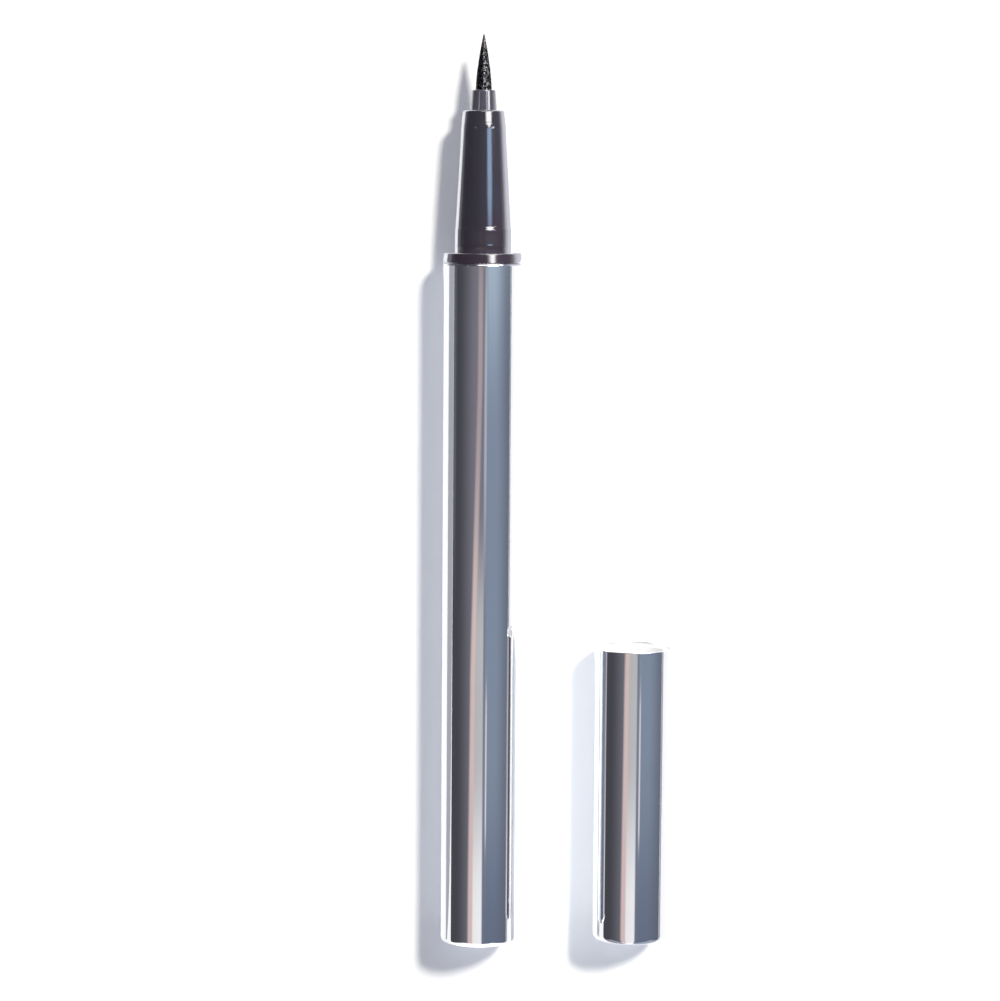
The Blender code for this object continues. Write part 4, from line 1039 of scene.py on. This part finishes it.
def studio():
    """World: white to the camera, an even fill to matt surfaces, and panels round the pen to glossy ones."""
    world = bpy.data.worlds.new("studio")
    bpy.context.scene.world = world
    world.use_nodes = True
    world.node_tree.nodes.clear()
    n = Nodes(world.node_tree)
    way = n.add("ShaderNodeTexCoord").outputs["Generated"]
    parts = n.add("ShaderNodeSeparateXYZ", {"Vector": way})
    x, y, z = (parts.outputs[name] for name in "XYZ")
    turn = n.math("MULTIPLY", n.math("ARCTAN2", x, z), 180 / math.pi)
    across = n.math("SQRT", n.math("ADD", n.math("MULTIPLY", x, x), n.math("MULTIPLY", z, z)))
    slope = n.math("DIVIDE", y, n.math("MAXIMUM", across, LEAST_ACROSS))

    def between(value, low, high, soft_low, soft_high):
        """1 between two edges, each with its own softness."""
        rise = n.ramp(value, low - soft_low, low + soft_low)
        fall = n.ramp(value, high - soft_high, high + soft_high, 1.0, 0.0)
        return n.math("MULTIPLY", rise, fall)

    def patch(turns, slopes):
        """1 inside a patch of turns and slopes."""
        return n.math("MULTIPLY", between(turn, *turns), between(slope, *slopes))

    def sloped(first, *more):
        """The sum of one or more changes along the slope."""
        value = n.ramp(slope, *first)
        for change in more:
            value = n.math("ADD", value, n.ramp(slope, *change))
        return value

    side = n.math("MULTIPLY", n.ramp(turn, *ROOM_SIDE_TURNS), n.ramp(slope, *ROOM_SIDE_SLOPES))
    room = n.mix(side, ROOM_TONE, ROOM_SIDE_TONE)
    seen = n.mix(n.ramp(turn, *ROOM_TOP_TURNS), room, ROOM_TOP_TONE)

    # Panel on the right, bright towards the brush and dim towards the closed end
    panel = n.mix(n.ramp(slope, *PANEL_REAR_SLOPES), *PANEL_REAR_TONES)
    panel = n.mix(n.ramp(slope, *PANEL_FRONT_SLOPES), panel, PANEL_FRONT_TONE)
    seen = n.mix(n.ramp(turn, *PANEL_TURNS), seen, panel)
    fade = n.ramp(turn, sloped(PANEL_FADE_STARTS), sloped(PANEL_FADE_ENDS), 0.0, PANEL_FADE_SHARE)
    seen = n.mix(fade, seen, PANEL_FADE_TONE)

    # White card overhead, which starts behind the middle of the pen
    card = n.math("MULTIPLY", between(turn, *CARD_PATCH_TURNS), n.ramp(slope, *CARD_SLOPES))
    hue = n.mix(n.ramp(turn, *CARD_HUE_TURNS), *CARD_HUES)
    tone = n.mix(n.ramp(slope, *CARD_TONE_SLOPES), *CARD_TONES)
    seen = n.mix(card, seen, n.vector("MULTIPLY", hue, tone))

    # Warm strip left of it, which leans towards the middle at the brush's end
    aside = n.math("ABSOLUTE", n.math("SUBTRACT", turn, sloped(*STRIP_MIDDLE)))
    strip = n.math("MULTIPLY", n.ramp(aside, *STRIP_HALF_WIDTH, 1.0, 0.0), sloped(*STRIP_STRENGTH))
    seen = n.mix(strip, seen, STRIP_TONE)

    # Narrow bright lines at the panel's edge
    seen = n.mix(patch(LINE_PATCH_TURNS, LINE_PATCH_SLOPES), seen, LINE_TONE)
    edge = n.math("MULTIPLY", between(turn, *EDGE_PATCH_TURNS), n.ramp(slope, *EDGE_SLOPES))
    edge = n.math("MULTIPLY", edge, n.ramp(slope, *EDGE_STRENGTH))
    seen = n.mix(edge, seen, EDGE_TONE)

    # Dark room past the brush's end, lighter on the right
    past_end = n.mix(n.ramp(turn, *PAST_END_TURNS), *PAST_END_TONES)
    past_end = n.mix(n.ramp(turn, *PAST_END_RIGHT_TURNS), past_end, PAST_END_RIGHT_TONE)
    seen = n.mix(n.ramp(slope, *PAST_END_SLOPES), seen, past_end)

    # The key's softbox there, blue and dim low down, white and wider upwards
    aside = n.math("ABSOLUTE", n.math("SUBTRACT", turn, BOX_TURN))
    box = n.ramp(n.math("SUBTRACT", aside, sloped(*BOX_HALF_WIDTH)), *BOX_SOFTNESS, 1.0, 0.0)
    box = n.math("MULTIPLY", box, between(slope, *BOX_PATCH_SLOPES))
    box = n.math("MULTIPLY", box, n.math("SUBTRACT", 1.0, between(slope, *BOX_GAP_PATCH_SLOPES)))
    light = n.mix(n.ramp(slope, *BOX_LOW_SLOPES), *BOX_LOW_TONES)
    light = n.mix(n.ramp(slope, *BOX_HIGH_SLOPES), light, BOX_HIGH_TONE)
    seen = n.mix(box, seen, light)

    # Lamps on both sides that only the nose's slope meets
    for turns, slopes, tone in LAMPS:
        seen = n.mix(patch(turns, slopes), seen, tone)

    # Soft wall towards both ends of the pen, where turns run together
    wall = n.mix(n.ramp(turn, *WALL_TURNS), *WALL_TONES)
    seen = n.mix(sloped(*WALL_SLOPES), seen, wall)

    path = n.add("ShaderNodeLightPath")
    glossy = path.outputs["Is Glossy Ray"]
    tone = n.mix(glossy, FILL, seen)
    bounced = n.math("GREATER_THAN", path.outputs["Diffuse Depth"], HALF_A_BOUNCE)
    tone = n.mix(n.math("MULTIPLY", glossy, bounced), tone, BOUNCE)
    plain = n.math("MAXIMUM", path.outputs["Is Camera Ray"], path.outputs["Is Transmission Ray"])
    tone = n.mix(plain, tone, WHITE)
    light = n.add("ShaderNodeBackground", {"Color": tone, "Strength": 1.0})
    n.add("ShaderNodeOutputWorld", {"Surface": light.outputs[0]})


CAMERA_PLACE = Vector((-8.0, 42.38, 415.41)) * MM
CAMERA_TILT = -6.037
CAMERA_ROLL = 0.405
CAMERA_SENSOR = 36
CAMERA_NEAREST = 0.01
CAMERA_FARTHEST = 20
FOCAL_PIXELS = 3000
PHOTO_WIDTH = 1000


def camera():
    """Camera at the photograph's angle, almost straight above the front of the barrel."""
    data = bpy.data.cameras.new("camera")
    data.sensor_fit = "HORIZONTAL"
    data.sensor_width = CAMERA_SENSOR
    data.lens = FOCAL_PIXELS / PHOTO_WIDTH * data.sensor_width
    data.clip_start = CAMERA_NEAREST
    data.clip_end = CAMERA_FARTHEST
    obj = linked("camera", data)
    tilt = Matrix.Rotation(math.radians(CAMERA_TILT), 4, "X")
    roll = Matrix.Rotation(math.radians(CAMERA_ROLL), 4, "Z")
    obj.matrix_world = Matrix.Translation(CAMERA_PLACE) @ (tilt @ roll)
    bpy.context.scene.camera = obj


floor()
grey_sheet("grey_sheet_left", -SHEETS_OUT, SHEET_LEFT_EDGE, SHEET_LEFT_NEAR, SHEET_HEIGHT, SHEET_TONE)
grey_sheet("grey_sheet_right", SHEET_RIGHT_EDGE, SHEETS_OUT, SHEET_RIGHT_NEAR, SHEET_HEIGHT, SHEET_TONE)
grey_sheet(
    "grip_sheet_left", -SHEETS_OUT, DARK_SHEET_EDGE, GRIP_SHEETS_NEAR, GRIP_SHEETS_HEIGHT, DARK_SHEET_TONE,
)
grey_sheet(
    "grip_sheet_right", PALE_SHEET_EDGE, SHEETS_OUT, GRIP_SHEETS_NEAR, GRIP_SHEETS_HEIGHT, PALE_SHEET_TONE,
)
end_light("barrel_end_light", barrel_edge, PEN_X, PEN_REAR, BARREL_END_LIGHT_HIGH_MM, BARREL_END_LIGHT_TONE)
end_light("cap_end_light", cap_edge, CAP_X, CAP_REAR, CAP_END_LIGHT_HIGH_MM, CAP_END_LIGHT_TONE)
key_light()
barrel_glow()
studio()
camera()
bpy.context.scene.view_settings.view_transform = "Standard"
